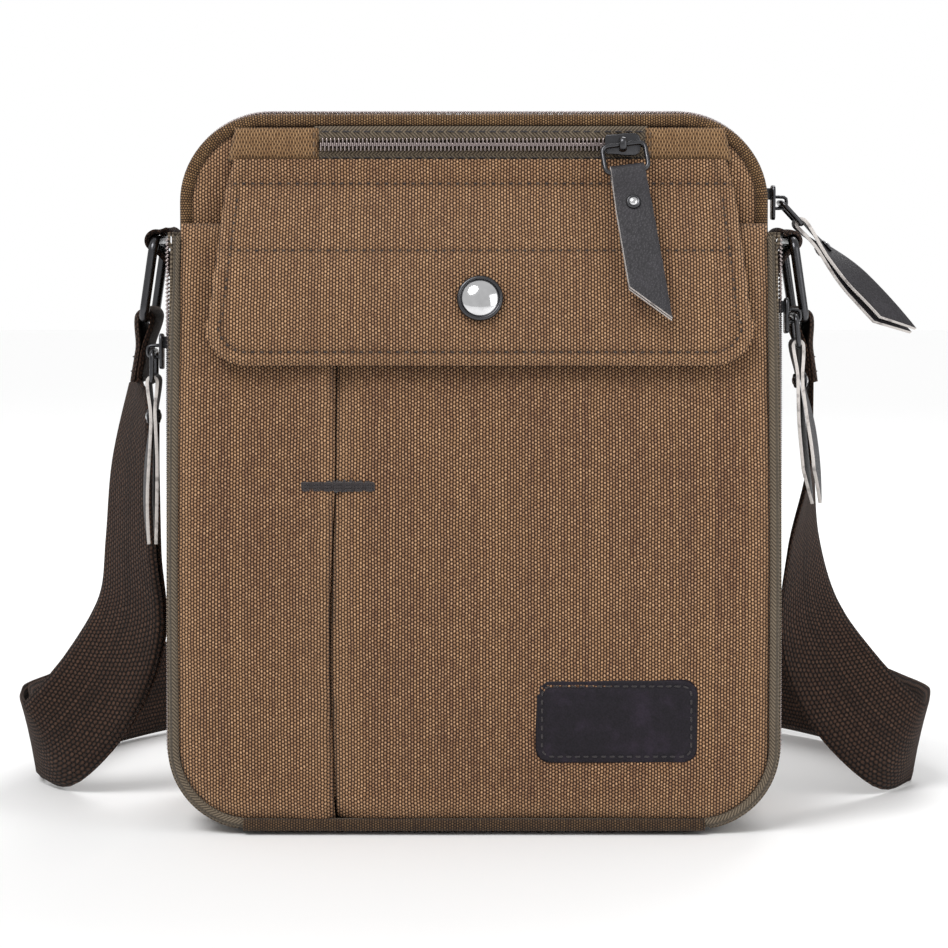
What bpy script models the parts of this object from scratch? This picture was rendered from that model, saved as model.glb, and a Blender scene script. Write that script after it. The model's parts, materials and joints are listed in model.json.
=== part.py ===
"""Canvas messenger bag, standing upright with its shoulder strap lying behind it.

Frame: metres, +Z up, +X to the wearer's right of the front face, -Y towards the front.
The origin is on the floor, at the middle of the bag's width and depth.

The bag is a zipped main compartment with a drop-down front pouch, a snap flap over the
pouch, a zip pocket above the flap, side zips round the pouch and a webbing strap.
"""

import math

import bmesh
import bpy
from mathutils import Matrix, Vector

MM = 0.001
GAP = 0.3 * MM                  # clearance left between neighbouring pieces

# Main compartment
HALF_WIDTH = 100 * MM
HEIGHT = 240 * MM
FRONT_Y = -8 * MM
BACK_Y = 42 * MM
TOP_RADIUS = 30 * MM
BOTTOM_RADIUS = 28 * MM
CANVAS = 1.6 * MM               # thickness of one canvas layer
LINING = 0.8 * MM               # thickness of one lining layer
PIPING_RADIUS = 2.0 * MM
PIPING_INSET = 2.3 * MM
LINING_INSET = 5.0 * MM
GUSSET_MARGIN = 4.0 * MM        # from a panel's face to the gusset's edge
GUSSET_SPLIT_Z = 203 * MM       # where the top zip gusset meets the lower gusset
MAIN_ZIP_Y = 17 * MM
STRAP_Y = 18.5 * MM             # the rings and the strap hang at this depth

# Front pouch
POUCH_HALF_WIDTH = 98.3 * MM
POUCH_TOP = 203 * MM
POUCH_BOTTOM = 5 * MM
POUCH_DEPTH = 32 * MM
POUCH_TOP_DEPTH = 6 * MM
BACKING_DEPTH = 20 * MM
BACKING_TOP_DEPTH = 2.5 * MM
FULL_DEPTH_SHARE = 0.7          # share of the pouch's height over which it fills out
PLEAT_X = -46 * MM
BINDING_RADIUS = 1.2 * MM
POUCH_CORNER = 23.8 * MM
BAND_HALF_WIDTH = 102.5 * MM    # outer face of the side zip tapes
BAND_BOTTOM = 0.8 * MM
STRIP_HALF_LENGTH = 77 * MM     # the canvas strip under the pouch, between the side zips
PATCH_HALF_WIDTH = 27 * MM
PATCH_X = 47.4 * MM
PATCH_LOW = 24.2 * MM
PATCH_HIGH = 52.2 * MM
PATCH_CORNER = 5 * MM
PATCH_LEATHER = 1.4 * MM
BARTACK_Z = 116 * MM
BARTACK_HALF = Vector((11.7 * MM, 0.7 * MM, 2 * MM))
POUCH_HINGE = Vector((0, -39 * MM, 4 * MM))

# Zips
TAPE = 1.2 * MM
POCKET_TAPE = 0.6 * MM          # the front pocket's zip has a thinner tape
COIL = 2.0 * MM                 # height of the coil above its tape
COIL_STOP = 18 * MM             # the side coils end this far below the tapes' upper ends
COIL_WIDTH = 2.2 * MM
CHAIN_GAP = 1.6 * MM            # the slider's post runs between the two coils
SIDE_ZIP_TOP = Vector((0, -10.8 * MM, 203 * MM))
SIDE_ZIP_LOW = Vector((0, -24 * MM, 28 * MM))
FRONT_ZIP_Z = 229.5 * MM
FRONT_ZIP_HALF = 4.8 * MM        # half height of the front zip's slot
FRONT_ZIP_LEFT = -52 * MM
FRONT_ZIP_RIGHT = 57.5 * MM
YOKE_LOW = 216.6 * MM
YOKE_TOP = 235.2 * MM
YOKE_TOP_HALF = 83 * MM

# Flap
FLAP_X = 2 * MM
FLAP_TOP = 214.5 * MM
FLAP_BOTTOM = 156 * MM
FLAP_REACH = 22.5 * MM
FLAP_START_Y = -8.9 * MM
FLAP_TOP_HALF = 86.5 * MM
FLAP_BOTTOM_HALF = 91.5 * MM
FLAP_RADIUS = 14 * MM
FLAP_HINGE = Vector((FLAP_X, -10.3 * MM, 214.5 * MM))
SNAP_Z = 175.5 * MM
SNAP_TILT = math.radians(17)

# Zip pulls
PULL_RING = Vector((14.6 * MM, 0, 10 * MM))
PULL_WIRE = 0.8 * MM
PULL_WIDTH = 12 * MM
PULL_LENGTH = 55 * MM
PULL_LEATHER = 1.2 * MM
RIVET_DROP = 12 * MM            # from the ring's lower bar to the rivet
RIVET_HOLE = 1.6 * MM
PULL_SLANT = 14 * MM            # height of the slanted cut at a pull's tip
SLIDER_PLATE = 1.2 * MM
SLIDER_LENGTH = 12 * MM
SLIDER_WIDTH = 9 * MM
SLIDER_STAND = 2.0 * MM         # from the slider's outer face to the pull's hinge line
FRONT_SLIDER_WIDTH = 7.6 * MM
FRONT_SLIDER_X = 50 * MM
LEFT_SLIDER_Z = 160 * MM
RIGHT_SLIDER_Z = 172 * MM

# Strap
STRAP_WIDTH = 35 * MM
WEBBING = 1.8 * MM
RING_BAR = Vector((109 * MM, STRAP_Y, 197 * MM))
RING_WIRE = 1.6 * MM
RING_SIZE = Vector((0, 39 * MM, 27 * MM))
RING_TILT = math.radians(8.5)
REAR_RUN_Y = 176 * MM
REAR_RUN_Z = 21.2 * MM
REAR_RUN_HALF = 75 * MM
ADJUSTER_X = -30 * MM
ADJUSTER_HALF = 13 * MM
ADJUSTER_BAR = 1.2 * MM         # half thickness of the adjuster's bars
TAB_LOW = 172 * MM

CANVAS_BROWN = (0.20, 0.115, 0.055, 1)
LINING_TAN = (0.16, 0.12, 0.085, 1)
TAPE_OLIVE = (0.13, 0.115, 0.085, 1)
WEBBING_BROWN = (0.045, 0.026, 0.02, 1)
LEATHER_DARK = (0.025, 0.022, 0.026, 1)
GUNMETAL = (0.06, 0.06, 0.065, 1)
CHROME = (0.75, 0.75, 0.76, 1)


# ---------------------------------------------------------------- scene helpers

def clear_scene():
    for obj in list(bpy.data.objects):
        bpy.data.objects.remove(obj, do_unlink=True)


def new_collection(name, hidden=False):
    collection = bpy.data.collections.new(name)
    bpy.context.scene.collection.children.link(collection)
    collection.hide_render = hidden
    return collection


def material(name, colour, roughness, metallic=0.0):
    mat = bpy.data.materials.get(name)
    if mat is None:
        mat = bpy.data.materials.new(name)
        mat.use_nodes = True
        shader = mat.node_tree.nodes["Principled BSDF"]
        shader.inputs["Base Color"].default_value = colour
        shader.inputs["Roughness"].default_value = roughness
        shader.inputs["Metallic"].default_value = metallic
    return mat


def canvas():
    return material("canvas", CANVAS_BROWN, 0.95)


def lining():
    return material("lining", LINING_TAN, 0.9)


def zip_tape():
    return material("zip_tape", TAPE_OLIVE, 0.85)


def webbing():
    return material("webbing", WEBBING_BROWN, 0.9)


def leather():
    return material("leather", LEATHER_DARK, 0.55)


def gunmetal():
    return material("gunmetal", GUNMETAL, 0.3, 1.0)


def chrome():
    return material("chrome", CHROME, 0.12, 1.0)


def empty_at(name, location, rotation=None, parent=None):
    empty = bpy.data.objects.new(name, None)
    PARTS.objects.link(empty)
    turn = rotation.to_4x4() if rotation is not None else Matrix.Identity(4)
    empty.parent = parent
    empty.matrix_world = Matrix.Translation(location) @ turn
    bpy.context.view_layer.update()
    return empty


def add_part(name, mesh, mat, parent=None, in_world=True):
    """One named node. A mesh given in world coordinates keeps its place under its parent."""
    obj = bpy.data.objects.new(name, mesh)
    PARTS.objects.link(obj)
    if mat.name not in mesh.materials:
        mesh.materials.append(mat)
    if parent is not None:
        obj.parent = parent
        if in_world:
            obj.matrix_parent_inverse = parent.matrix_world.inverted()
    return obj


def add_cutter(name, mesh):
    obj = bpy.data.objects.new(name, mesh)
    CUTTERS.objects.link(obj)
    obj.hide_render = True
    obj.display_type = "WIRE"
    return obj


def combine(obj, other, operation):
    modifier = obj.modifiers.new(operation.lower() + "_" + other.name, "BOOLEAN")
    modifier.operation = operation
    modifier.object = other
    modifier.solver = "EXACT"


def joined(base, *others):
    """A mesh that is the Boolean union of overlapping meshes."""
    return shaped(base, [(other, "UNION") for other in others])


def shaped(base, steps):
    """A mesh after a list of (mesh, operation) Boolean steps."""
    obj = bpy.data.objects.new("shaping", base)
    CUTTERS.objects.link(obj)
    tools = []
    for mesh, operation in steps:
        tool = add_cutter("tool", mesh)
        combine(obj, tool, operation)
        tools.append(tool)
    bpy.context.view_layer.update()
    graph = bpy.context.evaluated_depsgraph_get()
    mesh = bpy.data.meshes.new_from_object(obj.evaluated_get(graph))
    for used in tools + [obj]:
        bpy.data.objects.remove(used, do_unlink=True)
    mesh.materials.clear()
    return mesh


def smooth(mesh, angle=35):
    mesh.shade_smooth()
    mesh.set_sharp_from_angle(angle=math.radians(angle))
    return mesh


# ---------------------------------------------------------------- shape helpers

ALONG = {
    "X": Matrix(((0, 0, 1), (1, 0, 0), (0, 1, 0))),     # outline in (y, z), extruded along x
    "Y": Matrix(((1, 0, 0), (0, 0, -1), (0, 1, 0))),    # outline in (x, z), extruded along y
}


def mesh_of_curve(data, matrix):
    """The closed mesh of a curve object placed by a matrix."""
    obj = bpy.data.objects.new("outline", data)
    CUTTERS.objects.link(obj)
    obj.matrix_world = matrix
    bpy.context.view_layer.update()
    graph = bpy.context.evaluated_depsgraph_get()
    mesh = bpy.data.meshes.new_from_object(obj.evaluated_get(graph))
    mesh.transform(obj.matrix_world)
    bpy.data.objects.remove(obj, do_unlink=True)
    body = bmesh.new()
    body.from_mesh(mesh)
    bmesh.ops.remove_doubles(body, verts=body.verts, dist=1e-6)
    bmesh.ops.recalc_face_normals(body, faces=body.faces)
    body.to_mesh(mesh)
    body.free()
    mesh.materials.clear()
    return mesh


def add_spline(data, points, cyclic=True):
    spline = data.splines.new("POLY")
    spline.points.add(len(points) - 1)
    for point, place in zip(spline.points, points):
        point.co = (*place, 0, 1) if len(place) == 2 else (*place, 1)
    spline.use_cyclic_u = cyclic


def prism(loops, low, high, along):
    """Flat outlines, the later ones holes in the first, extruded from low to high."""
    data = bpy.data.curves.new("outline", "CURVE")
    data.dimensions = "2D"
    data.fill_mode = "BOTH"
    data.extrude = (high - low) / 2
    for loop in loops:
        add_spline(data, loop)
    turn = ALONG[along]
    middle = Vector([(low + high) / 2 if axis == along else 0 for axis in "XYZ"])
    return mesh_of_curve(data, Matrix.Translation(middle) @ turn.to_4x4())


def tube(points, radius, cyclic, sides_level=2):
    """A round cord or wire along a path."""
    data = bpy.data.curves.new("path", "CURVE")
    data.dimensions = "3D"
    data.bevel_depth = radius
    data.bevel_resolution = sides_level
    data.use_fill_caps = not cyclic
    add_spline(data, points, cyclic)
    return smooth(mesh_of_curve(data, Matrix.Identity(4)), 50)


def block(x, y, z):
    """A box between three pairs of limits."""
    body = bmesh.new()
    bmesh.ops.create_cube(body, size=1)
    size = Matrix.Diagonal((x[1] - x[0], y[1] - y[0], z[1] - z[0], 1))
    middle = Matrix.Translation(((x[0] + x[1]) / 2, (y[0] + y[1]) / 2, (z[0] + z[1]) / 2))
    bmesh.ops.transform(body, matrix=middle @ size, verts=body.verts)
    mesh = bpy.data.meshes.new("block")
    body.to_mesh(mesh)
    body.free()
    return mesh


def turned(profile, steps=20):
    """A closed (radius, height) profile turned about the local Z axis."""
    mesh = bpy.data.meshes.new("profile")
    mesh.from_pydata([(r, 0, h) for r, h in profile], [(i, i + 1) for i in range(len(profile) - 1)], [])
    obj = bpy.data.objects.new("profile", mesh)
    CUTTERS.objects.link(obj)
    screw = obj.modifiers.new("turn", "SCREW")
    screw.steps = screw.render_steps = steps
    screw.use_merge_vertices = True
    screw.merge_threshold = 0.00001
    bpy.context.view_layer.update()
    graph = bpy.context.evaluated_depsgraph_get()
    made = bpy.data.meshes.new_from_object(obj.evaluated_get(graph))
    bpy.data.objects.remove(obj, do_unlink=True)
    body = bmesh.new()
    body.from_mesh(made)
    bmesh.ops.remove_doubles(body, verts=body.verts, dist=1e-6)
    bmesh.ops.recalc_face_normals(body, faces=body.faces)
    body.to_mesh(made)
    body.free()
    return smooth(made)


def post(radius, low, high, steps=16):
    return turned([(0, high), (radius, high), (radius, low), (0, low)], steps)


def arc(centre, radius, start, end, steps):
    """Points on an arc, angles in degrees."""
    angles = [math.radians(start + (end - start) * i / steps) for i in range(steps + 1)]
    return [(centre[0] + radius * math.cos(a), centre[1] + radius * math.sin(a)) for a in angles]


def outline(half_width, bottom, top, bottom_radius, top_radius, steps=6):
    """An (x, z) rounded rectangle. A top radius of 0 leaves square top corners."""
    low, low_x = bottom + bottom_radius, half_width - bottom_radius
    points = arc((low_x, low), bottom_radius, -90, 0, steps)
    if top_radius:
        high, high_x = top - top_radius, half_width - top_radius
        points += arc((high_x, high), top_radius, 0, 90, steps)
        points += arc((-high_x, high), top_radius, 90, 180, steps)
    else:
        points += [(half_width, top), (-half_width, top)]
    return points + arc((-low_x, low), bottom_radius, 180, 270, steps)


def body_outline(inset):
    return outline(HALF_WIDTH - inset, inset, HEIGHT - inset, BOTTOM_RADIUS - inset, TOP_RADIUS - inset)


def band_outline(inset):
    """The side zip tapes' path round the pouch."""
    top = POUCH_TOP + 40 * MM
    return outline(BAND_HALF_WIDTH - inset, BAND_BOTTOM + inset, top, BOTTOM_RADIUS - inset, 0)


def sheet_profile(y_of_z, thickness, low, high, steps=10):
    """A (y, z) band of even thickness behind a curved front line."""
    heights = [low + (high - low) * i / steps for i in range(steps + 1)]
    front = [(y_of_z(z), z) for z in heights]
    return front + [(y + thickness, z) for y, z in reversed(front)]


def hairpin(radius, thickness, length, closed_at, steps=8):
    """A strip folded over a bar at the origin, its layers meeting at closed_at below."""
    shut = GAP / 2
    inner = arc((0, 0), radius, 180, 0, steps)
    outer_radius = radius + thickness
    outer = arc((0, 0), outer_radius, 0, 180, steps)
    right = [(shut, -closed_at), (shut, -length), (shut + thickness, -length), (shut + thickness, -closed_at)]
    left = [(-shut - thickness, -closed_at), (-shut - thickness, -length)]
    return [(-shut, -length), (-shut, -closed_at)] + inner + right + outer + left


# ---------------------------------------------------------------- curved surfaces

def pouch_fill(z):
    """0 at the pouch's mouth, 1 where it reaches its full depth."""
    share = (POUCH_TOP - z) / (POUCH_TOP * FULL_DEPTH_SHARE)
    return math.sin(math.pi / 2 * min(max(share, 0), 1))


def pouch_front(z):
    return FRONT_Y - POUCH_TOP_DEPTH - (POUCH_DEPTH - POUCH_TOP_DEPTH) * pouch_fill(z)


def backing_front(z):
    return FRONT_Y - BACKING_TOP_DEPTH - (BACKING_DEPTH - BACKING_TOP_DEPTH) * pouch_fill(z)


def side_zip_y(z):
    """The side zips run straight down, then keep their depth round the corner."""
    share = (SIDE_ZIP_TOP.z - z) / (SIDE_ZIP_TOP.z - SIDE_ZIP_LOW.z)
    return SIDE_ZIP_TOP.y + (SIDE_ZIP_LOW.y - SIDE_ZIP_TOP.y) * min(share, 1)


def flap_inner(z):
    share = (FLAP_TOP - z) / (FLAP_TOP - FLAP_BOTTOM)
    return FLAP_START_Y - FLAP_REACH * math.sin(math.pi / 2 * min(max(share, 0), 1))


def region(front_line, back_line, low, high, steps=12):
    """The (y, z) area between two depth lines."""
    heights = [low + (high - low) * i / steps for i in range(steps + 1)]
    front = [(front_line(z), z) for z in heights]
    return front + [(back_line(z), z) for z in reversed(heights)]


# ---------------------------------------------------------------- main compartment

def make_panels():
    inset = PIPING_INSET + PIPING_RADIUS + GAP
    flat = body_outline(inset)
    add_part("back_panel", prism([flat], BACK_Y - CANVAS, BACK_Y, "Y"), canvas())
    middle, half = (FRONT_ZIP_LEFT + FRONT_ZIP_RIGHT) / 2, (FRONT_ZIP_RIGHT - FRONT_ZIP_LEFT) / 2 + MM
    low, high = FRONT_ZIP_Z - FRONT_ZIP_HALF + GAP, FRONT_ZIP_Z + FRONT_ZIP_HALF - GAP
    mouth = [(x + middle, z) for x, z in outline(half, low, high, MM, MM, 2)]
    front = prism([flat, mouth], FRONT_Y, FRONT_Y + CANVAS, "Y")
    add_part("main_front_panel", front, canvas())


def make_piping():
    path = body_outline(PIPING_INSET)
    for name, y in (("piping_front", FRONT_Y + PIPING_RADIUS), ("piping_rear", BACK_Y - PIPING_RADIUS)):
        add_part(name, tube([(x, y, z) for x, z in path], PIPING_RADIUS, True), canvas())


def gusset_band(inset, thickness, low_y, high_y):
    return prism([body_outline(inset), body_outline(inset + thickness)], low_y, high_y, "Y")


def make_gussets():
    front_edge = FRONT_Y + GUSSET_MARGIN + GAP
    rear_edge = BACK_Y - GUSSET_MARGIN - GAP
    wide = (-1.2 * HALF_WIDTH, 1.2 * HALF_WIDTH)
    deep = (FRONT_Y - CANVAS, BACK_Y + CANVAS)
    below = block(wide, deep, (-10 * MM, GUSSET_SPLIT_Z))
    above = block(wide, deep, (GUSSET_SPLIT_Z + GAP, HEIGHT * 1.1))
    lower = shaped(gusset_band(0, CANVAS, front_edge, rear_edge), [(below, "INTERSECT")])
    add_part("gusset_lower", lower, canvas())
    half = CHAIN_GAP / 2 + COIL_WIDTH + 3.2 * MM
    for name, low, high in (
        ("gusset_top_front", front_edge, MAIN_ZIP_Y - half - GAP),
        ("gusset_top_rear", MAIN_ZIP_Y + half + GAP, rear_edge),
    ):
        mesh = shaped(gusset_band(0, CANVAS, low, high), [(above.copy(), "INTERSECT")])
        add_part(name, mesh, canvas())
    for name, side in (("main_zip_half_front", -1), ("main_zip_half_rear", 1)):
        inner, outer = sorted((MAIN_ZIP_Y + side * CHAIN_GAP / 2, MAIN_ZIP_Y + side * half))
        coil_edge = MAIN_ZIP_Y + side * (CHAIN_GAP / 2 + COIL_WIDTH)
        coil_low, coil_high = sorted((MAIN_ZIP_Y + side * CHAIN_GAP / 2, coil_edge))
        tape = gusset_band(0.4 * MM, TAPE - 0.4 * MM, inner, outer)
        coil = gusset_band(-COIL, COIL + 0.8 * MM, coil_low, coil_high)
        half_zip = shaped(tape, [(coil, "UNION"), (above.copy(), "INTERSECT")])
        add_part(name, half_zip, zip_tape())


def make_linings():
    """An open-topped inner bag, and the rear wall of the front zip pocket."""
    near, far = FRONT_Y + 3.8 * MM, BACK_Y - 2.4 * MM
    shell = prism([body_outline(LINING_INSET)], near, far, "Y")
    room = prism([body_outline(LINING_INSET + LINING)], near + LINING, far - LINING, "Y")
    top = block((-HALF_WIDTH, HALF_WIDTH), (-HALF_WIDTH, HALF_WIDTH), (GUSSET_SPLIT_Z, HEIGHT * 1.1))
    add_part("main_lining", shaped(shell, [(room, "DIFFERENCE"), (top, "DIFFERENCE")]), lining())
    pocket = outline(78 * MM, 120 * MM, 234 * MM, 8 * MM, 4 * MM, 3)
    add_part("zip_pocket_lining", prism([pocket], FRONT_Y + 2.4 * MM, FRONT_Y + 3.1 * MM, "Y"), lining())


# ---------------------------------------------------------------- front zip pocket

def make_front_zip():
    """The yoke above the flap, with the two halves of the pocket's zip in its slot."""
    low, top, half = YOKE_LOW, YOKE_TOP, YOKE_TOP_HALF
    slot_low = FRONT_ZIP_Z - FRONT_ZIP_HALF
    left, right = FRONT_ZIP_LEFT - GAP, FRONT_ZIP_RIGHT + GAP
    yoke = [
        (FLAP_X - FLAP_TOP_HALF, low), (FLAP_X + FLAP_TOP_HALF, low), (FLAP_X + half, top), (right, top),
        (right, slot_low), (left, slot_low), (left, top), (FLAP_X - half, top),
    ]
    mesh = prism([yoke], FRONT_Y - GAP - CANVAS, FRONT_Y - GAP, "Y")
    inside = prism([body_outline(LINING_INSET)], FRONT_Y - 5 * MM, FRONT_Y + 5 * MM, "Y")
    add_part("front_yoke", shaped(mesh, [(inside, "INTERSECT")]), canvas())
    back = FRONT_Y - GAP
    span = (FRONT_ZIP_LEFT, FRONT_ZIP_RIGHT)
    for name, side in (("front_zip_half_lower", -1), ("front_zip_half_upper", 1)):
        near = FRONT_ZIP_Z + side * CHAIN_GAP / 2
        far = FRONT_ZIP_Z + side * (FRONT_ZIP_HALF - GAP)
        tape = block(span, (back - POCKET_TAPE, back), sorted((near, far)))
        coil_span = (span[0] + GAP, span[1] - GAP)
        coil_depth = (back - POCKET_TAPE - COIL, back - POCKET_TAPE / 2)
        coil = block(coil_span, coil_depth, sorted((near, near + side * COIL_WIDTH)))
        add_part(name, joined(tape, coil), zip_tape())


# ---------------------------------------------------------------- front pouch

def make_pouch(body):
    face = prism([outline(POUCH_HALF_WIDTH, POUCH_BOTTOM, POUCH_TOP, POUCH_CORNER, 0)], -80 * MM, 0, "Y")
    sheet = sheet_profile(pouch_front, CANVAS, POUCH_BOTTOM, POUCH_TOP)
    half_slit = 0.3 * MM
    left = prism([sheet], -1.2 * HALF_WIDTH, PLEAT_X - half_slit, "X")
    add_part("pouch_front_left", shaped(left, [(face.copy(), "INTERSECT")]), canvas(), body)
    right = prism([sheet], PLEAT_X + half_slit, 1.2 * HALF_WIDTH, "X")
    stud_hole = post(1.8 * MM, -6 * MM, 6 * MM)
    stud_hole.transform(snap_matrix())
    steps = [(face.copy(), "INTERSECT"), (stud_hole, "DIFFERENCE")]
    add_part("pouch_front_right", shaped(right, steps), canvas(), body)
    behind = sheet_profile(lambda z: pouch_front(z) + CANVAS + GAP, LINING, 12 * MM, 196 * MM)
    facing = prism([behind], PLEAT_X - 9 * MM, PLEAT_X + 9 * MM, "X")
    add_part("pleat_facing", facing, canvas(), body)
    inner = sheet_profile(backing_front, LINING, POUCH_BOTTOM + 1 * MM, POUCH_TOP - 4 * MM)
    backing = prism([inner], -1.2 * HALF_WIDTH, 1.2 * HALF_WIDTH, "X")
    within = outline(POUCH_HALF_WIDTH - 1.3 * MM, POUCH_BOTTOM + MM, POUCH_TOP, POUCH_CORNER - MM, 0)
    inner_face = prism([within], -80 * MM, 0, "Y")
    add_part("pouch_backing", shaped(backing, [(inner_face, "INTERSECT")]), lining(), body)
    make_binding(body)
    make_bartack(body)
    patch = outline(PATCH_HALF_WIDTH, PATCH_LOW, PATCH_HIGH, PATCH_CORNER, PATCH_CORNER, 4)
    patch = [(x + PATCH_X, z) for x, z in patch]
    back = pouch_front(POUCH_BOTTOM) - GAP
    add_part("leather_patch", prism([patch], back - PATCH_LEATHER, back, "Y"), leather(), body)


def make_binding(body):
    """The rolled edge between the pouch's front and its side zip tapes."""
    room = BINDING_RADIUS + GAP
    half = POUCH_HALF_WIDTH + room
    corners = outline(half, POUCH_BOTTOM - room, POUCH_TOP, POUCH_CORNER + room, 0)
    # the outline starts at its bottom right corner: the two top corners in its middle are left out
    right_side, left_side = corners[:7], corners[9:]
    rise = [POUCH_TOP * share for share in (0.28, 0.44, 0.58, 0.7, 0.8, 0.9, 0.98)]
    path = [(-half, z) for z in reversed(rise)] + left_side + right_side + [(half, z) for z in rise]
    depth = 1.7 * MM
    points = [(x, pouch_front(z) + depth, z) for x, z in path]
    add_part("pouch_binding", tube(points, BINDING_RADIUS, False, 1), zip_tape(), body)


def make_bartack(body):
    z, half = BARTACK_Z, BARTACK_HALF
    slope = math.atan2(pouch_front(z + MM) - pouch_front(z - MM), 2 * MM)
    bar = block((-half.x, half.x), (-half.y, 0), (-half.z, half.z))
    turn = Matrix.Rotation(-slope, 4, "X")
    bar.transform(Matrix.Translation((PLEAT_X + 0.8 * MM, pouch_front(z) - 0.4 * MM, z)) @ turn)
    add_part("pleat_bartack", bar, material("thread", WEBBING_BROWN, 0.8), body)


def side_zip_areas(side):
    """The (y, z) areas of one tape and its coil: side 1 lies behind the zip's line, -1 before it."""
    low, high = -5 * MM, POUCH_TOP - 2 * MM

    def beside(distance):
        return lambda z: side_zip_y(z) + side * distance

    def pouch_edge(z):
        return pouch_front(z) + 0.4 * MM

    def body_edge(z):
        return FRONT_Y - 0.8 * MM

    near, far = beside(CHAIN_GAP / 2), beside(CHAIN_GAP / 2 + COIL_WIDTH)
    edge = body_edge if side > 0 else pouch_edge
    tape_lines, coil_lines = (near, edge), (near, far)
    if side < 0:
        tape_lines, coil_lines = tape_lines[::-1], coil_lines[::-1]
    return region(*tape_lines, low, high), region(*coil_lines, low, high - COIL_STOP)


def make_side_zips(pouch):
    """Each half is a tape with its coil, down the side and round the bottom corner."""
    inner, outer, deep = STRIP_HALF_LENGTH + 2 * GAP, 1.2 * HALF_WIDTH, -60 * MM
    floor = block((-1, 1), (-1, 1), (-20 * MM, 0.1 * MM))
    for half, side in (("rear", 1), ("front", -1)):
        tape_area, coil_area = side_zip_areas(side)
        for hand, limits in (("left", (-outer, -inner)), ("right", (inner, outer))):
            tape = prism([band_outline(0), band_outline(TAPE)], deep, 0, "Y")
            coil = prism([band_outline(-COIL), band_outline(0.6 * MM)], deep, 0, "Y")
            coil_room = prism([coil_area], *limits, "X")
            tape_room = prism([tape_area], *limits, "X")
            coil = shaped(coil, [(coil_room, "INTERSECT"), (floor.copy(), "DIFFERENCE")])
            mesh = shaped(tape, [(tape_room, "INTERSECT"), (coil, "UNION")])
            parent = pouch if half == "front" else None
            add_part(f"{hand}_zip_half_{half}", mesh, zip_tape(), parent)


def make_bottom_strip():
    limits = (-STRIP_HALF_LENGTH, STRIP_HALF_LENGTH)
    strip = block(limits, (-35.5 * MM, FRONT_Y - 0.8 * MM), (0.3 * MM, 0.3 * MM + CANVAS))
    add_part("pouch_bottom_strip", strip, canvas())


# ---------------------------------------------------------------- flap and snap

def snap_matrix():
    """Local +Z points out of the pouch's front at the snap."""
    place = Matrix.Translation((FLAP_X, pouch_front(SNAP_Z), SNAP_Z))
    return place @ Matrix.Rotation(math.pi / 2 - SNAP_TILT, 4, "X")


def flap_layer(offset, thickness, hole_radius):
    low, high = FLAP_BOTTOM, FLAP_TOP
    sheet = sheet_profile(lambda z: flap_inner(z) - offset - thickness, thickness, low, high, 8)
    strip = prism([sheet], -1.2 * HALF_WIDTH, 1.2 * HALF_WIDTH, "X")
    r, low_half, top_half = FLAP_RADIUS, FLAP_BOTTOM_HALF, FLAP_TOP_HALF
    shape = arc((low_half - r, low + r), r, -90, 0, 6) + [(top_half, high), (-top_half, high)]
    shape += arc((-low_half + r, low + r), r, 180, 270, 6)
    shape = [(x + FLAP_X, z) for x, z in shape]
    hole = post(hole_radius, -2 * MM, 14 * MM)
    hole.transform(snap_matrix())
    return shaped(strip, [(prism([shape], -60 * MM, 0, "Y"), "INTERSECT"), (hole, "DIFFERENCE")])


def make_flap(flap):
    add_part("flap_lining", flap_layer(0, LINING, 2.2 * MM), lining(), flap)
    add_part("flap_canvas", flap_layer(LINING + GAP, CANVAS, 2.2 * MM), canvas(), flap)


def make_snap(flap, pouch):
    """A dome cap and socket on the flap, a stud and its backing on the pouch."""
    place = snap_matrix()
    dome = [(0, 12.3), (3, 12.0), (5.5, 11.2), (7.2, 10.2), (7.6, 9.6), (1.7, 9.6), (1.7, 5.6), (0, 5.6)]
    socket = [(2.9, 5.0), (5.6, 5.0), (5.6, 2.6), (5.0, 2.2), (2.9, 2.2), (2.9, 5.0)]
    stud = [(0, 4.0), (1.9, 4.0), (2.3, 3.4), (1.8, 2.6), (1.8, 1.2), (5.0, 1.0), (5.0, 0.5), (0, 0.5)]
    back = [(0, 0.2), (1.4, 0.2), (1.4, -2.3), (5.0, -2.3), (5.0, -3.0), (0, -3.0)]
    for name, profile, mat, parent in (
        ("snap_cap", dome, chrome(), flap),
        ("snap_socket", socket, gunmetal(), flap),
        ("snap_stud", stud, gunmetal(), pouch),
        ("snap_stud_back", back, gunmetal(), pouch),
    ):
        mesh = turned([(r * MM, h * MM) for r, h in profile], 20)
        mesh.transform(place)
        add_part(name, mesh, mat, parent)


# ---------------------------------------------------------------- zip sliders and pulls

def slider_mesh(lengthways, plate_gap, post_drop, width=SLIDER_WIDTH):
    """Two plates joined by a post, with a bridge for the pull. The hinge line is local X,
    local -Y points away from the bag. lengthways is the local axis of travel."""
    face = SLIDER_STAND
    long, wide = SLIDER_LENGTH / 2, width / 2
    x, z = ((-wide, wide), (-long, long)) if lengthways == "Z" else ((-long, long), (-wide, wide))
    outer = block(x, (face, face + SLIDER_PLATE), z)
    rear = face + SLIDER_PLATE + plate_gap
    inner = block(x, (rear, rear + SLIDER_PLATE), z)
    thin, nose = 0.5 * MM, (post_drop, post_drop + 4 * MM)
    across = (-thin, thin)
    reach = (face + SLIDER_PLATE / 2, rear + SLIDER_PLATE / 2)
    divider = block(across, reach, nose) if lengthways == "Z" else block(nose, reach, across)
    high, wall, room = -2.2 * MM, 1.0 * MM, 1.3 * MM
    arch = [
        (face + 0.5 * MM, -room - wall), (face + 0.5 * MM, -room), (high + wall, -room), (high + wall, room),
        (face + 0.5 * MM, room), (face + 0.5 * MM, room + wall), (high, room + wall), (high, -room - wall),
    ]
    bridge = prism([arch], -1.2 * MM, 1.2 * MM, "X")
    return joined(outer, inner, divider, bridge)


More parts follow.
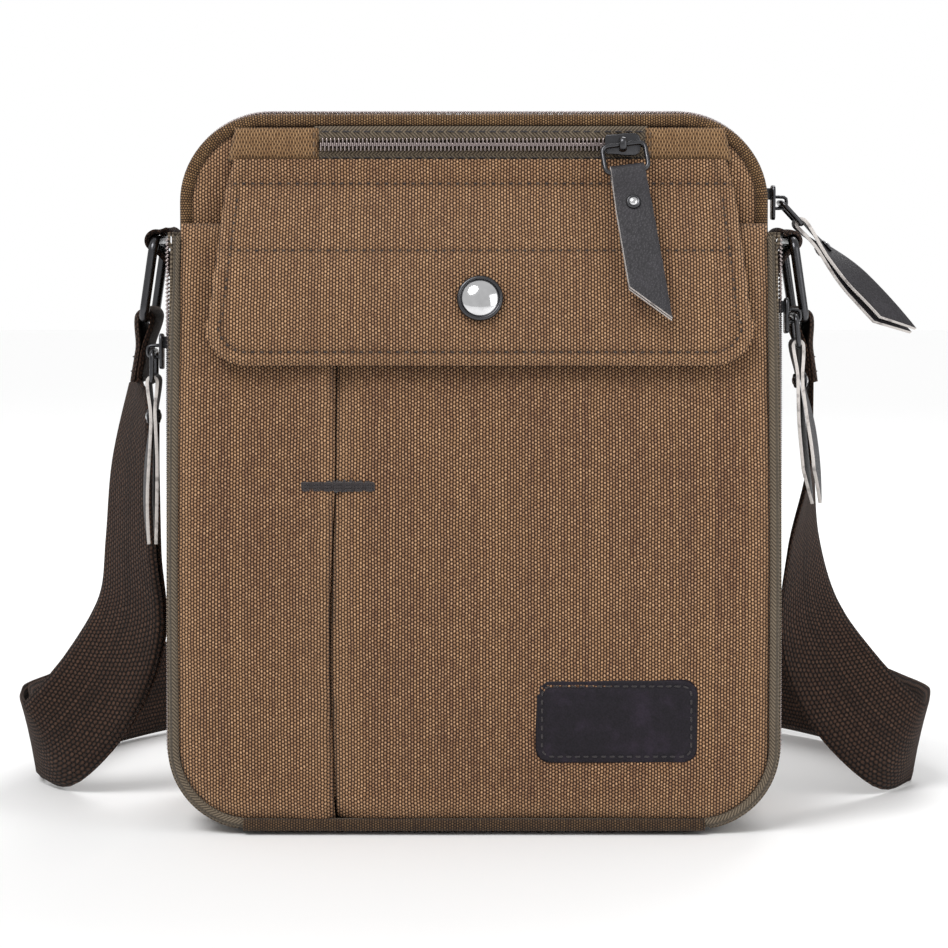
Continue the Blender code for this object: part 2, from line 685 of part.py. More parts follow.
def pull_meshes():
    """A wire ring below its hinge line, then, about the ring's lower bar, a leather strap
    folded over it and the rivet that closes the fold."""
    corner = 2 * MM
    loop = outline(PULL_RING.x / 2, -PULL_RING.z, 0, corner, corner, 3)
    ring = tube([(x, 0, z) for x, z in loop], PULL_WIRE, True, 1)
    fold = hairpin(PULL_WIRE + GAP, PULL_LEATHER, PULL_LENGTH, RIVET_DROP)
    strip = prism([fold], -PULL_WIDTH / 2, PULL_WIDTH / 2, "X")
    side = PULL_WIDTH / 2 + MM
    low = -PULL_LENGTH - MM
    wedge = [(-side, low), (side - 2 * MM, low), (-side, low + PULL_SLANT)]
    cut = prism([wedge], -PULL_WIDTH, PULL_WIDTH, "Y")
    hole = post(RIVET_HOLE, -PULL_WIDTH, PULL_WIDTH, 12)
    at_rivet = Matrix.Translation((0, 0, -RIVET_DROP)) @ Matrix.Rotation(math.pi / 2, 4, "X")
    hole.transform(at_rivet)
    strap = shaped(strip, [(cut, "DIFFERENCE"), (hole, "DIFFERENCE")])
    face = GAP / 2 + PULL_LEATHER + GAP
    shank = RIVET_HOLE - GAP
    head = [(0, face + 0.9 * MM), (1.4 * MM, face + 0.7 * MM), (2.2 * MM, face), (shank, face)]
    rivet = turned(head + [(r, -h) for r, h in reversed(head)], 14)
    rivet.transform(at_rivet)
    return ring, strap, rivet


PULL_SIDES = {"front": 0, "right": 90, "left": -90, "main": 90}


def make_pull(name, slider, place, lift, sway, meshes):
    """A pull hanging from place, lifted away from the bag and swayed sideways, in degrees."""
    turn = (
        Matrix.Rotation(math.radians(PULL_SIDES[name]), 3, "Z")
        @ Matrix.Rotation(math.radians(-lift), 3, "X")
        @ Matrix.Rotation(math.radians(sway), 3, "Y")
    )
    ring_hinge = empty_at(name + "_pull_hinge", place, turn, slider)
    fold_place = place + turn @ Vector((0, 0, -PULL_RING.z))
    fold_hinge = empty_at(name + "_leather_hinge", fold_place, turn, ring_hinge)
    ring, strap, rivet = meshes
    add_part(name + "_pull_ring", ring, gunmetal(), ring_hinge, False)
    add_part(name + "_pull_leather", strap, leather(), fold_hinge, False)
    add_part(name + "_pull_rivet", rivet, chrome(), fold_hinge, False)


def make_slider(name, place, mesh, lean=0.0, parent=None):
    turn = Matrix.Rotation(math.radians(PULL_SIDES[name]), 3, "Z")
    carrier = empty_at(name + "_slider_place", place, Matrix.Rotation(lean, 3, "X") @ turn, parent)
    add_part(name + "_slider", mesh, gunmetal(), carrier, False)
    return carrier


def make_zip_hardware():
    meshes = pull_meshes()
    front_face = FRONT_Y - GAP - POCKET_TAPE - COIL - GAP
    front_gap = FRONT_Y - front_face + GAP / 2
    place = Vector((FRONT_SLIDER_X, front_face - SLIDER_PLATE - SLIDER_STAND, FRONT_ZIP_Z))
    front = make_slider("front", place, slider_mesh("X", front_gap, 0, FRONT_SLIDER_WIDTH))
    make_pull("front", front, place, 24.5, -8, meshes)
    side_face = BAND_HALF_WIDTH + COIL + GAP
    side_mesh = slider_mesh("Z", COIL + TAPE + 2 * GAP, MM)
    lean = math.atan2(SIDE_ZIP_TOP.y - SIDE_ZIP_LOW.y, SIDE_ZIP_TOP.z - SIDE_ZIP_LOW.z)
    for name, side, height, lift in (("left", -1, LEFT_SLIDER_Z, 1), ("right", 1, RIGHT_SLIDER_Z, 6)):
        place = Vector((side * (side_face + SLIDER_PLATE + SLIDER_STAND), side_zip_y(height), height))
        carrier = make_slider(name, place, side_mesh, -lean)
        make_pull(name, carrier, place, lift, 0, meshes)
    # the main slider runs round the bag's top corner, so it turns about the corner's centre
    corner = empty_at("main_zip_corner", Vector((HALF_WIDTH - TOP_RADIUS, MAIN_ZIP_Y, HEIGHT - TOP_RADIUS)))
    clear = 0.9 * MM
    face = HALF_WIDTH + COIL + clear
    place = Vector((face + SLIDER_PLATE + SLIDER_STAND, MAIN_ZIP_Y, HEIGHT - TOP_RADIUS))
    main_mesh = slider_mesh("Z", COIL + TAPE + 2 * clear, MM)
    carrier = make_slider("main", place, main_mesh, parent=corner)
    make_pull("main", carrier, place, 43, 0, meshes)


# ---------------------------------------------------------------- strap and rings

def make_tabs():
    """Folded webbing tabs sewn to the gusset, each holding a ring's upper bar."""
    base, outer = HALF_WIDTH + GAP, HALF_WIDTH + 3.6 * MM
    low = TAB_LOW
    centre = (RING_BAR.x, RING_BAR.z)
    radius = 4.2 * MM
    profile = [(base, low), (outer, low), (outer, 186 * MM)]
    profile += arc(centre, radius, -55, 135, 8) + [(base, 194 * MM)]
    hole = arc(centre, 2.3 * MM, 0, 330, 11)
    half = STRAP_WIDTH / 2 - 1 * MM
    for name, side in (("left_strap_tab", -1), ("right_strap_tab", 1)):
        loops = [[(side * x, z) for x, z in loop] for loop in (profile, hole)]
        mesh = prism(loops, STRAP_Y - half, STRAP_Y + half, "Y")
        add_part(name, mesh, webbing())


def make_rings():
    """A rectangular ring in each tab, and the strap's fold round its lower bar."""
    wide, tall, corner = RING_SIZE.y / 2, RING_SIZE.z, 2.5 * MM
    loop = outline(wide, -tall, 0, corner, corner, 4)
    ring = tube([(0, x, z) for x, z in loop], RING_WIRE, True, 2)
    fold = hairpin(RING_WIRE + GAP, WEBBING, 22 * MM, 11 * MM)
    strip = prism([fold], -STRAP_WIDTH / 2, STRAP_WIDTH / 2, "Y")
    strip.transform(Matrix.Translation((0, 0, -tall)))
    for name, side in (("left", -1), ("right", 1)):
        place = Vector((side * RING_BAR.x, RING_BAR.y, RING_BAR.z))
        hinge = empty_at(name + "_ring_hinge", place, Matrix.Rotation(-side * RING_TILT, 3, "Y"))
        add_part(name + "_ring", ring, gunmetal(), hinge, False)
        add_part(name + "_strap_fold", strip, webbing(), hinge, False)


def strap_stations():
    """(place, direction across the webbing) from the right ring, round the back, to the left ring."""
    right = [
        ((116.5, 17, 145.5), (0.05, 1, 0)),
        ((117, 17, 118), (0.15, 1, 0)),
        ((115, 18, 90), (0.4, 0.9, 0.05)),
        ((118, 20, 62), (0.65, 0.65, 0.38)),
        ((131, 22, 38), (0.62, 0.25, 0.74)),
        ((151, 29, 18), (0.5, 0, 0.86)),
        ((161, 49, 18), (0.2, 0, 0.98)),
        ((159, 75, 18), (0, 0, 1)),
        ((151, 105, 18), (0, 0, 1)),
        ((137, 138, 18.2), (0, 0, 1)),
        ((112, 165, 19.5), (0, 0, 1)),
    ]
    left = [
        ((-116.5, 17, 145.5), (-0.3, 0.95, 0)),
        ((-120, 18, 118), (-0.5, 0.86, 0)),
        ((-121, 19, 90), (-0.6, 0.8, 0.05)),
        ((-122, 22, 64), (-0.7, 0.6, 0.38)),
        ((-133, 26, 39), (-0.62, 0.25, 0.74)),
        ((-151, 33, 18), (-0.5, 0, 0.86)),
        ((-161, 52, 18), (-0.2, 0, 0.98)),
        ((-159, 77, 18), (0, 0, 1)),
        ((-151, 106, 18), (0, 0, 1)),
        ((-137, 138, 18.2), (0, 0, 1)),
        ((-112, 165, 19.5), (0, 0, 1)),
    ]
    run = [
        ((side * REAR_RUN_HALF / MM, REAR_RUN_Y / MM, REAR_RUN_Z / MM), (0, 0, 1)) for side in (1, 0, -1)
    ]
    stations = right + run + left[::-1]
    return [(Vector(place) * MM, Vector(across).normalized()) for place, across in stations]


def spline_point(values, index, share):
    """Catmull-Rom between values[index] and the next."""
    count = len(values) - 1
    p0, p1, p2, p3 = (values[min(max(index + k, 0), count)] for k in (-1, 0, 1, 2))
    a = 2 * p1 + (p2 - p0) * share
    b = (2 * p0 - 5 * p1 + 4 * p2 - p3) * share ** 2
    return 0.5 * (a + b + (3 * p1 - p0 - 3 * p2 + p3) * share ** 3)


def strap_frames(first, last, steps=3):
    """(place, across, normal) along the strap between two stations."""
    places, acrosses = zip(*strap_stations())
    on_run = [abs(p.y - REAR_RUN_Y) < 1e-6 for p in places]
    frames = []
    for i in range(first, last + 1):
        for k in range(steps if i < last else 1):
            share = k / steps
            if i < last and on_run[i] and on_run[i + 1]:
                place, ahead = places[i].lerp(places[i + 1], share), places[i + 1] - places[i]
            else:
                j, base = (i, share) if i < len(places) - 1 else (i - 1, 1)
                place = spline_point(places, j, base)
                before, after = max(base - 0.05, 0), min(base + 0.05, 1)
                ahead = spline_point(places, j, after) - spline_point(places, j, before)
                if on_run[i] and share == 0:
                    ahead = Vector((-1, 0, 0))      # the strap meets the rear run squarely
            across = spline_point(acrosses, i, share)
            ahead.normalize()
            across = (across - ahead * across.dot(ahead)).normalized()
            frames.append((place, across, ahead.cross(across)))
    return frames


def ribbon(frames, offset, thickness, width):
    """A flat strip lofted along frames, offset along each normal."""
    body = bmesh.new()
    rows = []
    for place, across, normal in frames:
        middle = place + normal * offset
        corners = [(1, 1), (-1, 1), (-1, -1), (1, -1)]
        half_across, half_normal = across * width / 2, normal * thickness / 2
        rows.append([body.verts.new(middle + half_across * a + half_normal * b) for a, b in corners])
    for one, two in zip(rows, rows[1:]):
        for k in range(4):
            body.faces.new((one[k], one[(k + 1) % 4], two[(k + 1) % 4], two[k]))
    body.faces.new(rows[0])
    body.faces.new(rows[-1][::-1])
    bmesh.ops.triangulate(body, faces=body.faces)
    bmesh.ops.recalc_face_normals(body, faces=body.faces)
    mesh = bpy.data.meshes.new("ribbon")
    body.to_mesh(mesh)
    body.free()
    return mesh


def make_strap():
    """The whole strap, and its second layer from the adjuster to the left ring."""
    last = len(strap_stations()) - 1
    frames = strap_frames(0, last)
    add_part("strap", ribbon(frames, 0, WEBBING, STRAP_WIDTH), webbing())
    second_layer = -(WEBBING + 1.6 * MM)
    reach = ADJUSTER_X - 25 * MM
    cut = [frame for frame in frames if frame[0].x < reach and frame[0].z < 140 * MM]
    start = (Vector((reach, REAR_RUN_Y, REAR_RUN_Z)), Vector((0, 0, 1)), cut[0][2].copy())
    add_part("strap_return", ribbon([start] + cut, second_layer, WEBBING, STRAP_WIDTH), webbing())


def make_adjuster():
    """A three-bar slide on the rear run, with the sewn end of the webbing on its middle bar."""
    y, z = REAR_RUN_Y, REAR_RUN_Z
    half_x, half_z, bar = ADJUSTER_HALF, STRAP_WIDTH / 2 + 0.8 * MM, ADJUSTER_BAR
    middle_y, outer_y = y - 4.4 * MM, y + 2.6 * MM
    hinge = empty_at("adjuster_place", Vector((ADJUSTER_X, y, z)))
    x_span = (ADJUSTER_X - half_x - bar, ADJUSTER_X + half_x + bar)
    rails = [
        block(x_span, (middle_y - bar, outer_y + bar), sorted((z + s * half_z, z + s * (half_z + 2 * bar))))
        for s in (-1, 1)
    ]
    z_span = (z - half_z - bar, z + half_z + bar)
    bars = [
        block((ADJUSTER_X + dx - bar, ADJUSTER_X + dx + bar), (by - bar, by + bar), z_span)
        for dx, by in ((-half_x, outer_y), (half_x, outer_y), (0, middle_y))
    ]
    frame = joined(rails[0], rails[1], *bars)
    add_part("strap_adjuster", frame, gunmetal(), hinge)
    fold = hairpin(bar * 1.42 + GAP, 1.2 * MM, 22 * MM, 9 * MM)
    lying = [(height, side) for side, height in fold]          # the fold points to -X
    mesh = prism([lying], -STRAP_WIDTH / 2, STRAP_WIDTH / 2, "Y")
    mesh.transform(Matrix.Translation((ADJUSTER_X, middle_y, z)) @ Matrix.Rotation(math.pi / 2, 4, "X"))
    add_part("strap_end_fold", mesh, webbing(), hinge)


clear_scene()
PARTS = new_collection("messenger_bag")
CUTTERS = new_collection("cutters", hidden=True)
FLAP = empty_at("flap_hinge", FLAP_HINGE)
POUCH = empty_at("pouch_hinge", POUCH_HINGE)
make_panels()
make_piping()
make_gussets()
make_linings()
make_front_zip()
make_pouch(POUCH)
make_side_zips(POUCH)
make_bottom_strip()
make_flap(FLAP)
make_snap(FLAP, POUCH)
make_zip_hardware()
make_tabs()
make_rings()
make_strap()
make_adjuster()
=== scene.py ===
"""Looks of the canvas messenger bag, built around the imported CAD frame."""

import json
import math

import bmesh
import bpy
import numpy as np
from mathutils import Matrix, Vector, noise
from mathutils.geometry import delaunay_2d_cdt


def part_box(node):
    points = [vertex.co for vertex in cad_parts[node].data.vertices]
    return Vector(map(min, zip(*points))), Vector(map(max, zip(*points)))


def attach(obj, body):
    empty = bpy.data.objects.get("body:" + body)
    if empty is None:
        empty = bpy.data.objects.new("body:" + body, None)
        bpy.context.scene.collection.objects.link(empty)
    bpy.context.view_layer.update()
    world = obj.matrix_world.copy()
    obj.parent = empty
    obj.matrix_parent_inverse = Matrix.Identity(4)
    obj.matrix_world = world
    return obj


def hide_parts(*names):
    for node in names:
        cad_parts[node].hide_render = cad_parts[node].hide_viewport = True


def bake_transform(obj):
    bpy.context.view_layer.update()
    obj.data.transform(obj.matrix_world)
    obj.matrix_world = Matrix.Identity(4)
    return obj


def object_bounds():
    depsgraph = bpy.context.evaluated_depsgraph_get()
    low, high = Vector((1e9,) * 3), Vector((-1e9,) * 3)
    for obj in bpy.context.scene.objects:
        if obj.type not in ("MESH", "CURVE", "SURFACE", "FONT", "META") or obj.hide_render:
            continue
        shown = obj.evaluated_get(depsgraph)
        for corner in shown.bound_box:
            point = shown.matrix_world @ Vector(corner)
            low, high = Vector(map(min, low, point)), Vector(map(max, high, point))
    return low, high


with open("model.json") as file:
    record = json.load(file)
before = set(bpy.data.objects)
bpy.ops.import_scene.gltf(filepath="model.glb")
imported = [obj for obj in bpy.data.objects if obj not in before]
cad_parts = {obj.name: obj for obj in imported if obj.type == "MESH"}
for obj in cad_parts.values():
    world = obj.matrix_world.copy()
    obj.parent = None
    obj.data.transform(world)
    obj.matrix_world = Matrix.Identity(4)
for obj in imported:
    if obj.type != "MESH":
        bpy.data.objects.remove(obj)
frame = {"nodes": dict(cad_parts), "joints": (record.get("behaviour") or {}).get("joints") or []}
CAD_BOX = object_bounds()
BOXES = {name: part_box(name) for name in frame["nodes"]}
JOINTS = {joint["name"]: joint for joint in frame["joints"]}
MM = 0.001


def box(node):
    return BOXES[node]


# ---------------------------------------------------------------- places from the frame

HALF_WIDTH = box("gusset_lower")[1].x
TOP = box("gusset_top_front")[1].z
GUSSET_SPLIT = box("gusset_lower")[1].z
FRONT = box("main_front_panel")[0].y
BACK = box("back_panel")[1].y
POUCH_LOW, POUCH_HIGH = box("pouch_front_right")
PLEAT = (box("pouch_front_left")[1].x + POUCH_LOW.x) / 2
FLAP_LOW, FLAP_HIGH = box("flap_canvas")
CANVAS = 1.6 * MM
TOP_RADIUS = 30 * MM
BOTTOM_RADIUS = 28 * MM
PIPING = 2.0 * MM
PIPING_INSET = 2.3 * MM
POUCH_RADIUS = 23.8 * MM
BAND_HALF = 102.5 * MM
POUCH_FRONT_TOP = POUCH_HIGH.y - CANVAS
POUCH_HALF = POUCH_HIGH.x
FRONT_ZIP_LOW, FRONT_ZIP_HIGH = box("front_zip_half_lower")[0], box("front_zip_half_upper")[1]
FRONT_ZIP_Z = (FRONT_ZIP_LOW.z + FRONT_ZIP_HIGH.z) / 2
MAIN_ZIP_Y = JOINTS["main_zip_turn"]["pos_m"][1]


def pouch_front(z):
    share = (POUCH_HIGH.z - z) / (POUCH_HIGH.z * 0.7)
    fill = math.sin(math.pi / 2 * min(max(share, 0), 1))
    return POUCH_FRONT_TOP + (POUCH_LOW.y - POUCH_FRONT_TOP) * fill


def pouch_slope(z):
    return (pouch_front(z + MM) - pouch_front(z - MM)) / (2 * MM)


def backing_front(z):
    low, high = box("pouch_backing")
    share = (POUCH_HIGH.z - z) / (POUCH_HIGH.z * 0.7)
    fill = math.sin(math.pi / 2 * min(max(share, 0), 1))
    top = FRONT - 2.5 * MM
    return top + (low.y - top) * fill


def flap_front(z):
    """Outer face of the flap, with its fixed hem above the hinge."""
    top = FLAP_HIGH.y - CANVAS
    share = (FLAP_HIGH.z - z) / (FLAP_HIGH.z - FLAP_LOW.z)
    if share < 0:
        return top
    return top + (FLAP_LOW.y - top) * math.sin(math.pi / 2 * min(share, 1))


def side_zip_y(z):
    joint = JOINTS["left_zip_slide"]
    hinge = JOINTS["left_pull_hinge"]["pos_m"]
    slope = joint["axis"][1] / joint["axis"][2]
    return hinge[1] + (max(z, BOTTOM_RADIUS) - hinge[2]) * slope


# ---------------------------------------------------------------- materials

class Graph:
    """A material's node tree with short names for the nodes used here."""

    def __init__(self, name):
        self.material = bpy.data.materials.new(name)
        self.material.use_nodes = True
        self.tree = self.material.node_tree
        self.shader = self.tree.nodes["Principled BSDF"]

    def node(self, kind, **settings):
        made = self.tree.nodes.new(kind)
        for key, value in settings.items():
            setattr(made, key, value)
        return made

    def feed(self, socket, value):
        if isinstance(value, bpy.types.NodeSocket):
            self.tree.links.new(value, socket)
        else:
            socket.default_value = value

    def math(self, operation, *values, clamp=False):
        made = self.node("ShaderNodeMath", operation=operation, use_clamp=clamp)
        for socket, value in zip(made.inputs, values):
            self.feed(socket, value)
        return made.outputs[0]

    def mix(self, factor, a, b, blend="MIX"):
        made = self.node("ShaderNodeMix", data_type="RGBA", blend_type=blend)
        for index, value in ((0, factor), (6, a), (7, b)):
            self.feed(made.inputs[index], value)
        return made.outputs[2]

    def between(self, value, low, high, to_low=0.0, to_high=1.0, smooth=True):
        made = self.node("ShaderNodeMapRange", interpolation_type="SMOOTHSTEP" if smooth else "LINEAR")
        for index, number in enumerate((value, low, high, to_low, to_high)):
            self.feed(made.inputs[index], number)
        return made.outputs[0]

    def vector(self, x, y, z=0.0):
        made = self.node("ShaderNodeCombineXYZ")
        for socket, value in zip(made.inputs, (x, y, z)):
            self.feed(socket, value)
        return made.outputs[0]

    def noise(self, vector, scale, detail=2.0, roughness=0.5):
        made = self.node("ShaderNodeTexNoise")
        self.feed(made.inputs["Vector"], vector)
        made.inputs["Scale"].default_value = scale
        made.inputs["Detail"].default_value = detail
        made.inputs["Roughness"].default_value = roughness
        return made.outputs[0]

    def random(self, vector):
        made = self.node("ShaderNodeTexWhiteNoise", noise_dimensions="3D")
        self.feed(made.inputs["Vector"], vector)
        return made.outputs[0]

    def cloth(self):
        """The piece's cloth coordinates, in metres along and across."""
        place = self.node("ShaderNodeUVMap", uv_map="cloth").outputs[0]
        parts = self.node("ShaderNodeSeparateXYZ")
        self.feed(parts.inputs[0], place)
        return place, parts.outputs[0], parts.outputs[1]

    def object_place(self):
        return self.node("ShaderNodeTexCoord").outputs["Object"]

    def bump(self, height, distance, strength=1.0):
        made = self.node("ShaderNodeBump")
        made.inputs["Strength"].default_value = strength
        made.inputs["Distance"].default_value = distance
        self.feed(made.inputs["Height"], height)
        self.feed(self.shader.inputs["Normal"], made.outputs[0])

    def set(self, **values):
        for key, value in values.items():
            self.feed(self.shader.inputs[key.replace("_", " ")], value)


def rgb(red, green, blue):
    return (red, green, blue, 1.0)


def woven(name, column, row, gap, dark, light, crest_highlight, depth, streak=170.0, tone=(0.28, 0.72), fuzz=0.06):
    """Plain weave: domed grains in columns, each column's grains half a row off its neighbour's. The gap colour is
    painted shade between the grains and the crest colour a painted highlight on their tops.
    """
    g = Graph(name)
    place, u, v = g.cloth()
    wander = g.noise(place, 130.0, 2.0)
    u = g.math("ADD", u, g.math("MULTIPLY", g.math("SUBTRACT", wander, 0.5), column * 0.7))
    slub = g.noise(g.vector(v, u, 5.0), 260.0, 1.0)
    v = g.math("ADD", v, g.math("MULTIPLY", g.math("SUBTRACT", slub, 0.5), row * 0.8))
    a = g.math("DIVIDE", u, column)
    i = g.math("FLOOR", a)
    across = g.math("SUBTRACT", g.math("SUBTRACT", a, i), 0.5)
    half = g.math("MULTIPLY", g.math("PINGPONG", i, 1.0), 0.5)
    b = g.math("ADD", g.math("DIVIDE", v, row), half)
    j = g.math("FLOOR", b)
    along = g.math("SUBTRACT", g.math("SUBTRACT", b, j), 0.5)
    round_part = g.math("MULTIPLY", g.math("POWER", g.math("MULTIPLY", across, 2.0), 2.0), 0.8)
    long_part = g.math("MULTIPLY", g.math("POWER", g.math("MULTIPLY", along, 2.0), 2.0), 0.75)
    grain = g.math("SUBTRACT", 1.0, g.math("ADD", round_part, long_part), clamp=True)
    column_tone = g.random(g.vector(i, 3.0))
    run = g.noise(g.vector(g.math("MULTIPLY", i, 0.61), g.math("MULTIPLY", v, streak)), 1.0, 2.0)
    broad = g.noise(place, 14.0, 3.0)
    shade = g.math("ADD", g.math("MULTIPLY", column_tone, 0.20), g.math("MULTIPLY", run, 0.44))
    shade = g.math("ADD", shade, g.math("MULTIPLY", broad, 0.36))
    thread = g.mix(g.between(shade, *tone), dark, light)
    # Attribute of real wear near the edges of each cloth piece; on the flap it also carries painted light, a lift over
    # the whole piece.
    worn = g.node("ShaderNodeAttribute", attribute_name="wear_and_painted_light").outputs["Fac"]
    thread = g.mix(g.math("MULTIPLY", worn, 0.55), thread, g.mix(0.25, light, crest_highlight))
    luck = g.math("MULTIPLY", g.math("POWER", g.random(g.vector(i, j)), 2.0), 0.42)
    # Painted highlight: each grain's top is lifted towards the crest colour, more on lighter threads and at random
    # strength.
    spark = g.math("ADD", luck, g.between(shade, 0.28, 0.72, 0.20, 0.42))
    spark = g.math("MULTIPLY", spark, g.between(grain, 0.50, 0.98))
    # Painted shade: each grain's edge sinks into the gap colour.
    body = g.mix(g.between(grain, 0.14, 0.70), gap, thread)
    colour = g.mix(spark, body, crest_highlight)
    # Painted shade: the cloth darkens towards the gap colour in the sunk stitch grooves of the flap.
    seam = g.node("ShaderNodeAttribute", attribute_name="seam").outputs["Fac"]
    colour = g.mix(g.between(seam, 18.8 * MM, 19.8 * MM, 0.0, 0.3), colour, gap)
    g.set(Base_Color=colour, Roughness=0.92, Sheen_Weight=fuzz, Sheen_Roughness=0.6, Specular_IOR_Level=0.25)
    g.bump(g.math("POWER", grain, 0.6), depth)
    return g.material


def twill(name, pitch, dark, light, depth):
    """Diagonal ribs that turn in a herringbone."""
    g = Graph(name)
    place, u, v = g.cloth()
    fold = g.math("PINGPONG", v, 1.9 * MM)
    rib = g.math("MULTIPLY", g.math("PINGPONG", g.math("DIVIDE", g.math("ADD", u, fold), pitch), 0.5), 2.0)
    cross = g.math("MULTIPLY", g.math("PINGPONG", g.math("DIVIDE", v, pitch * 0.5), 0.5), 2.0)
    height = g.math("ADD", g.math("MULTIPLY", rib, 0.8), g.math("MULTIPLY", cross, 0.25))
    worn = g.noise(place, 60.0, 3.0)
    tone = g.math("ADD", g.math("MULTIPLY", g.between(rib, 0.15, 0.85), 0.8), g.math("MULTIPLY", worn, 0.25))
    g.set(Base_Color=g.mix(tone, dark, light), Roughness=0.85, Sheen_Weight=0.08, Specular_IOR_Level=0.25)
    g.bump(height, depth)
    return g.material


def leather(name, base, light, grain_size, worn=0.35, shine=0.5):
    g = Graph(name)
    place = g.object_place()
    cells = g.node("ShaderNodeTexVoronoi", feature="SMOOTH_F1")
    g.feed(cells.inputs["Vector"], place)
    cells.inputs["Scale"].default_value = 1 / grain_size
    cells.inputs["Smoothness"].default_value = 0.35
    pebble = g.math("SUBTRACT", 1.0, cells.outputs["Distance"])
    fine = g.noise(place, 2600.0, 2.0)
    height = g.math("ADD", pebble, g.math("MULTIPLY", fine, 0.25))
    rubbed = g.between(g.noise(place, 130.0, 4.0, 0.65), 0.45, 0.75)
    tone = g.math("ADD", g.math("MULTIPLY", pebble, 0.5), g.math("MULTIPLY", rubbed, worn))
    g.set(Base_Color=g.mix(tone, base, light), Roughness=g.between(pebble, 0.2, 1.0, 0.62, 0.42))
    g.set(Specular_IOR_Level=shine)
    g.bump(height, 0.12 * MM, 0.8)
    return g.material


def raw_edge(name):
    """The pale fibrous core that shows where leather is cut."""
    g = Graph(name)
    place = g.object_place()
    fibre = g.noise(place, 1400.0, 4.0, 0.7)
    dirt = g.between(g.noise(place, 260.0, 3.0), 0.5, 0.72)
    pale = g.mix(fibre, rgb(0.50, 0.45, 0.42), rgb(0.80, 0.77, 0.74))
    g.set(Base_Color=g.mix(g.math("MULTIPLY", dirt, 0.7), pale, rgb(0.12, 0.10, 0.10)), Roughness=0.9)
    g.bump(fibre, 0.15 * MM)
    return g.material


def metal(name, colour, roughness, scratch=0.15):
    g = Graph(name)
    place = g.object_place()
    smear = g.noise(place, 420.0, 4.0, 0.6)
    pits = g.noise(place, 2400.0, 2.0)
    g.set(Base_Color=g.mix(g.math("MULTIPLY", smear, 0.35), colour, rgb(0.02, 0.02, 0.022)), Metallic=1.0)
    g.set(Roughness=g.between(smear, 0.3, 0.7, roughness, roughness + scratch))
    g.bump(pits, 0.01 * MM, 0.3)
    return g.material


def thread_material(name, dark, light):
    g = Graph(name)
    place, u, v = g.cloth()
    twist = g.math("PINGPONG", g.math("DIVIDE", g.math("ADD", u, g.math("MULTIPLY", v, 0.8)), 0.45 * MM), 0.5)
    twist = g.math("MULTIPLY", twist, 2.0)
    g.set(Base_Color=g.mix(twist, dark, light), Roughness=0.75, Sheen_Weight=0.3)
    g.bump(twist, 0.08 * MM)
    return g.material


# Canvas colours. In every woven cloth the gap colour is painted shade between the grains and the crest colour a painted
# highlight on their tops.
CANVAS_GAP_SHADE = rgb(0.014, 0.005, 0.002)
CANVAS_DARK = rgb(0.125, 0.052, 0.025)
CANVAS_LIGHT = rgb(0.205, 0.098, 0.038)
CANVAS_CREST_HIGHLIGHT = rgb(0.700, 0.440, 0.255)

CLOTH = woven("canvas", 1.0 * MM, 1.22 * MM, CANVAS_GAP_SHADE, CANVAS_DARK, CANVAS_LIGHT, CANVAS_CREST_HIGHLIGHT, 0.34 * MM)
RIBBED = woven(
    "canvas_ribbed", 0.55 * MM, 2.4 * MM, rgb(0.03, 0.014, 0.006), rgb(0.160, 0.078, 0.032),
    rgb(0.250, 0.132, 0.054), rgb(0.50, 0.32, 0.17), 0.16 * MM)
EDGE_CLOTH = woven(
    "canvas_piping", 0.85 * MM, 0.95 * MM, rgb(0.012, 0.005, 0.002), rgb(0.078, 0.035, 0.012),
    rgb(0.130, 0.066, 0.023), rgb(0.44, 0.27, 0.13), 0.26 * MM)
BASE_CLOTH = woven(
    "canvas_base", 0.85 * MM, 0.95 * MM, rgb(0.006, 0.003, 0.0015), rgb(0.036, 0.017, 0.009),
    rgb(0.060, 0.032, 0.014), rgb(0.20, 0.12, 0.06), 0.26 * MM)
LINING = woven(
    "lining", 0.4 * MM, 0.4 * MM, rgb(0.05, 0.035, 0.025), rgb(0.13, 0.095, 0.065), rgb(0.18, 0.135, 0.09),
    rgb(0.22, 0.17, 0.12), 0.05 * MM)
TAPE = twill("zip_tape", 1.25 * MM, rgb(0.036, 0.027, 0.019), rgb(0.205, 0.162, 0.114), 0.22 * MM)
WEBBING = woven(
    "webbing", 1.5 * MM, 1.7 * MM, rgb(0.005, 0.0025, 0.0015), rgb(0.018, 0.0085, 0.0055),
    rgb(0.044, 0.021, 0.013), rgb(0.105, 0.058, 0.038), 0.6 * MM, streak=25.0, fuzz=0.02)
LEATHER = leather("leather", rgb(0.006, 0.005, 0.007), rgb(0.034, 0.030, 0.038), 0.75 * MM)
PATCH = leather("patch_leather", rgb(0.002, 0.0012, 0.003), rgb(0.016, 0.010, 0.020), 0.6 * MM, 0.7, 0.28)
RAW = raw_edge("leather_edge")
GUNMETAL = metal("gunmetal", rgb(0.085, 0.085, 0.09), 0.2)
TEETH = metal("coil", rgb(0.46, 0.39, 0.38), 0.24)
CHROME = metal("chrome", rgb(0.86, 0.86, 0.87), 0.07, 0.06)
THREAD = thread_material("thread", rgb(0.050, 0.025, 0.010), rgb(0.160, 0.090, 0.040))
# Thread coloured near black as painted shadow of the stitch holes on the flap.
STITCH_HOLE_SHADOW = thread_material("thread_as_hole_shadow", rgb(0.012, 0.005, 0.002), rgb(0.060, 0.030, 0.014))
DARK_THREAD = thread_material("thread_dark", rgb(0.006, 0.004, 0.005), rgb(0.032, 0.022, 0.024))

# ---------------------------------------------------------------- meshes


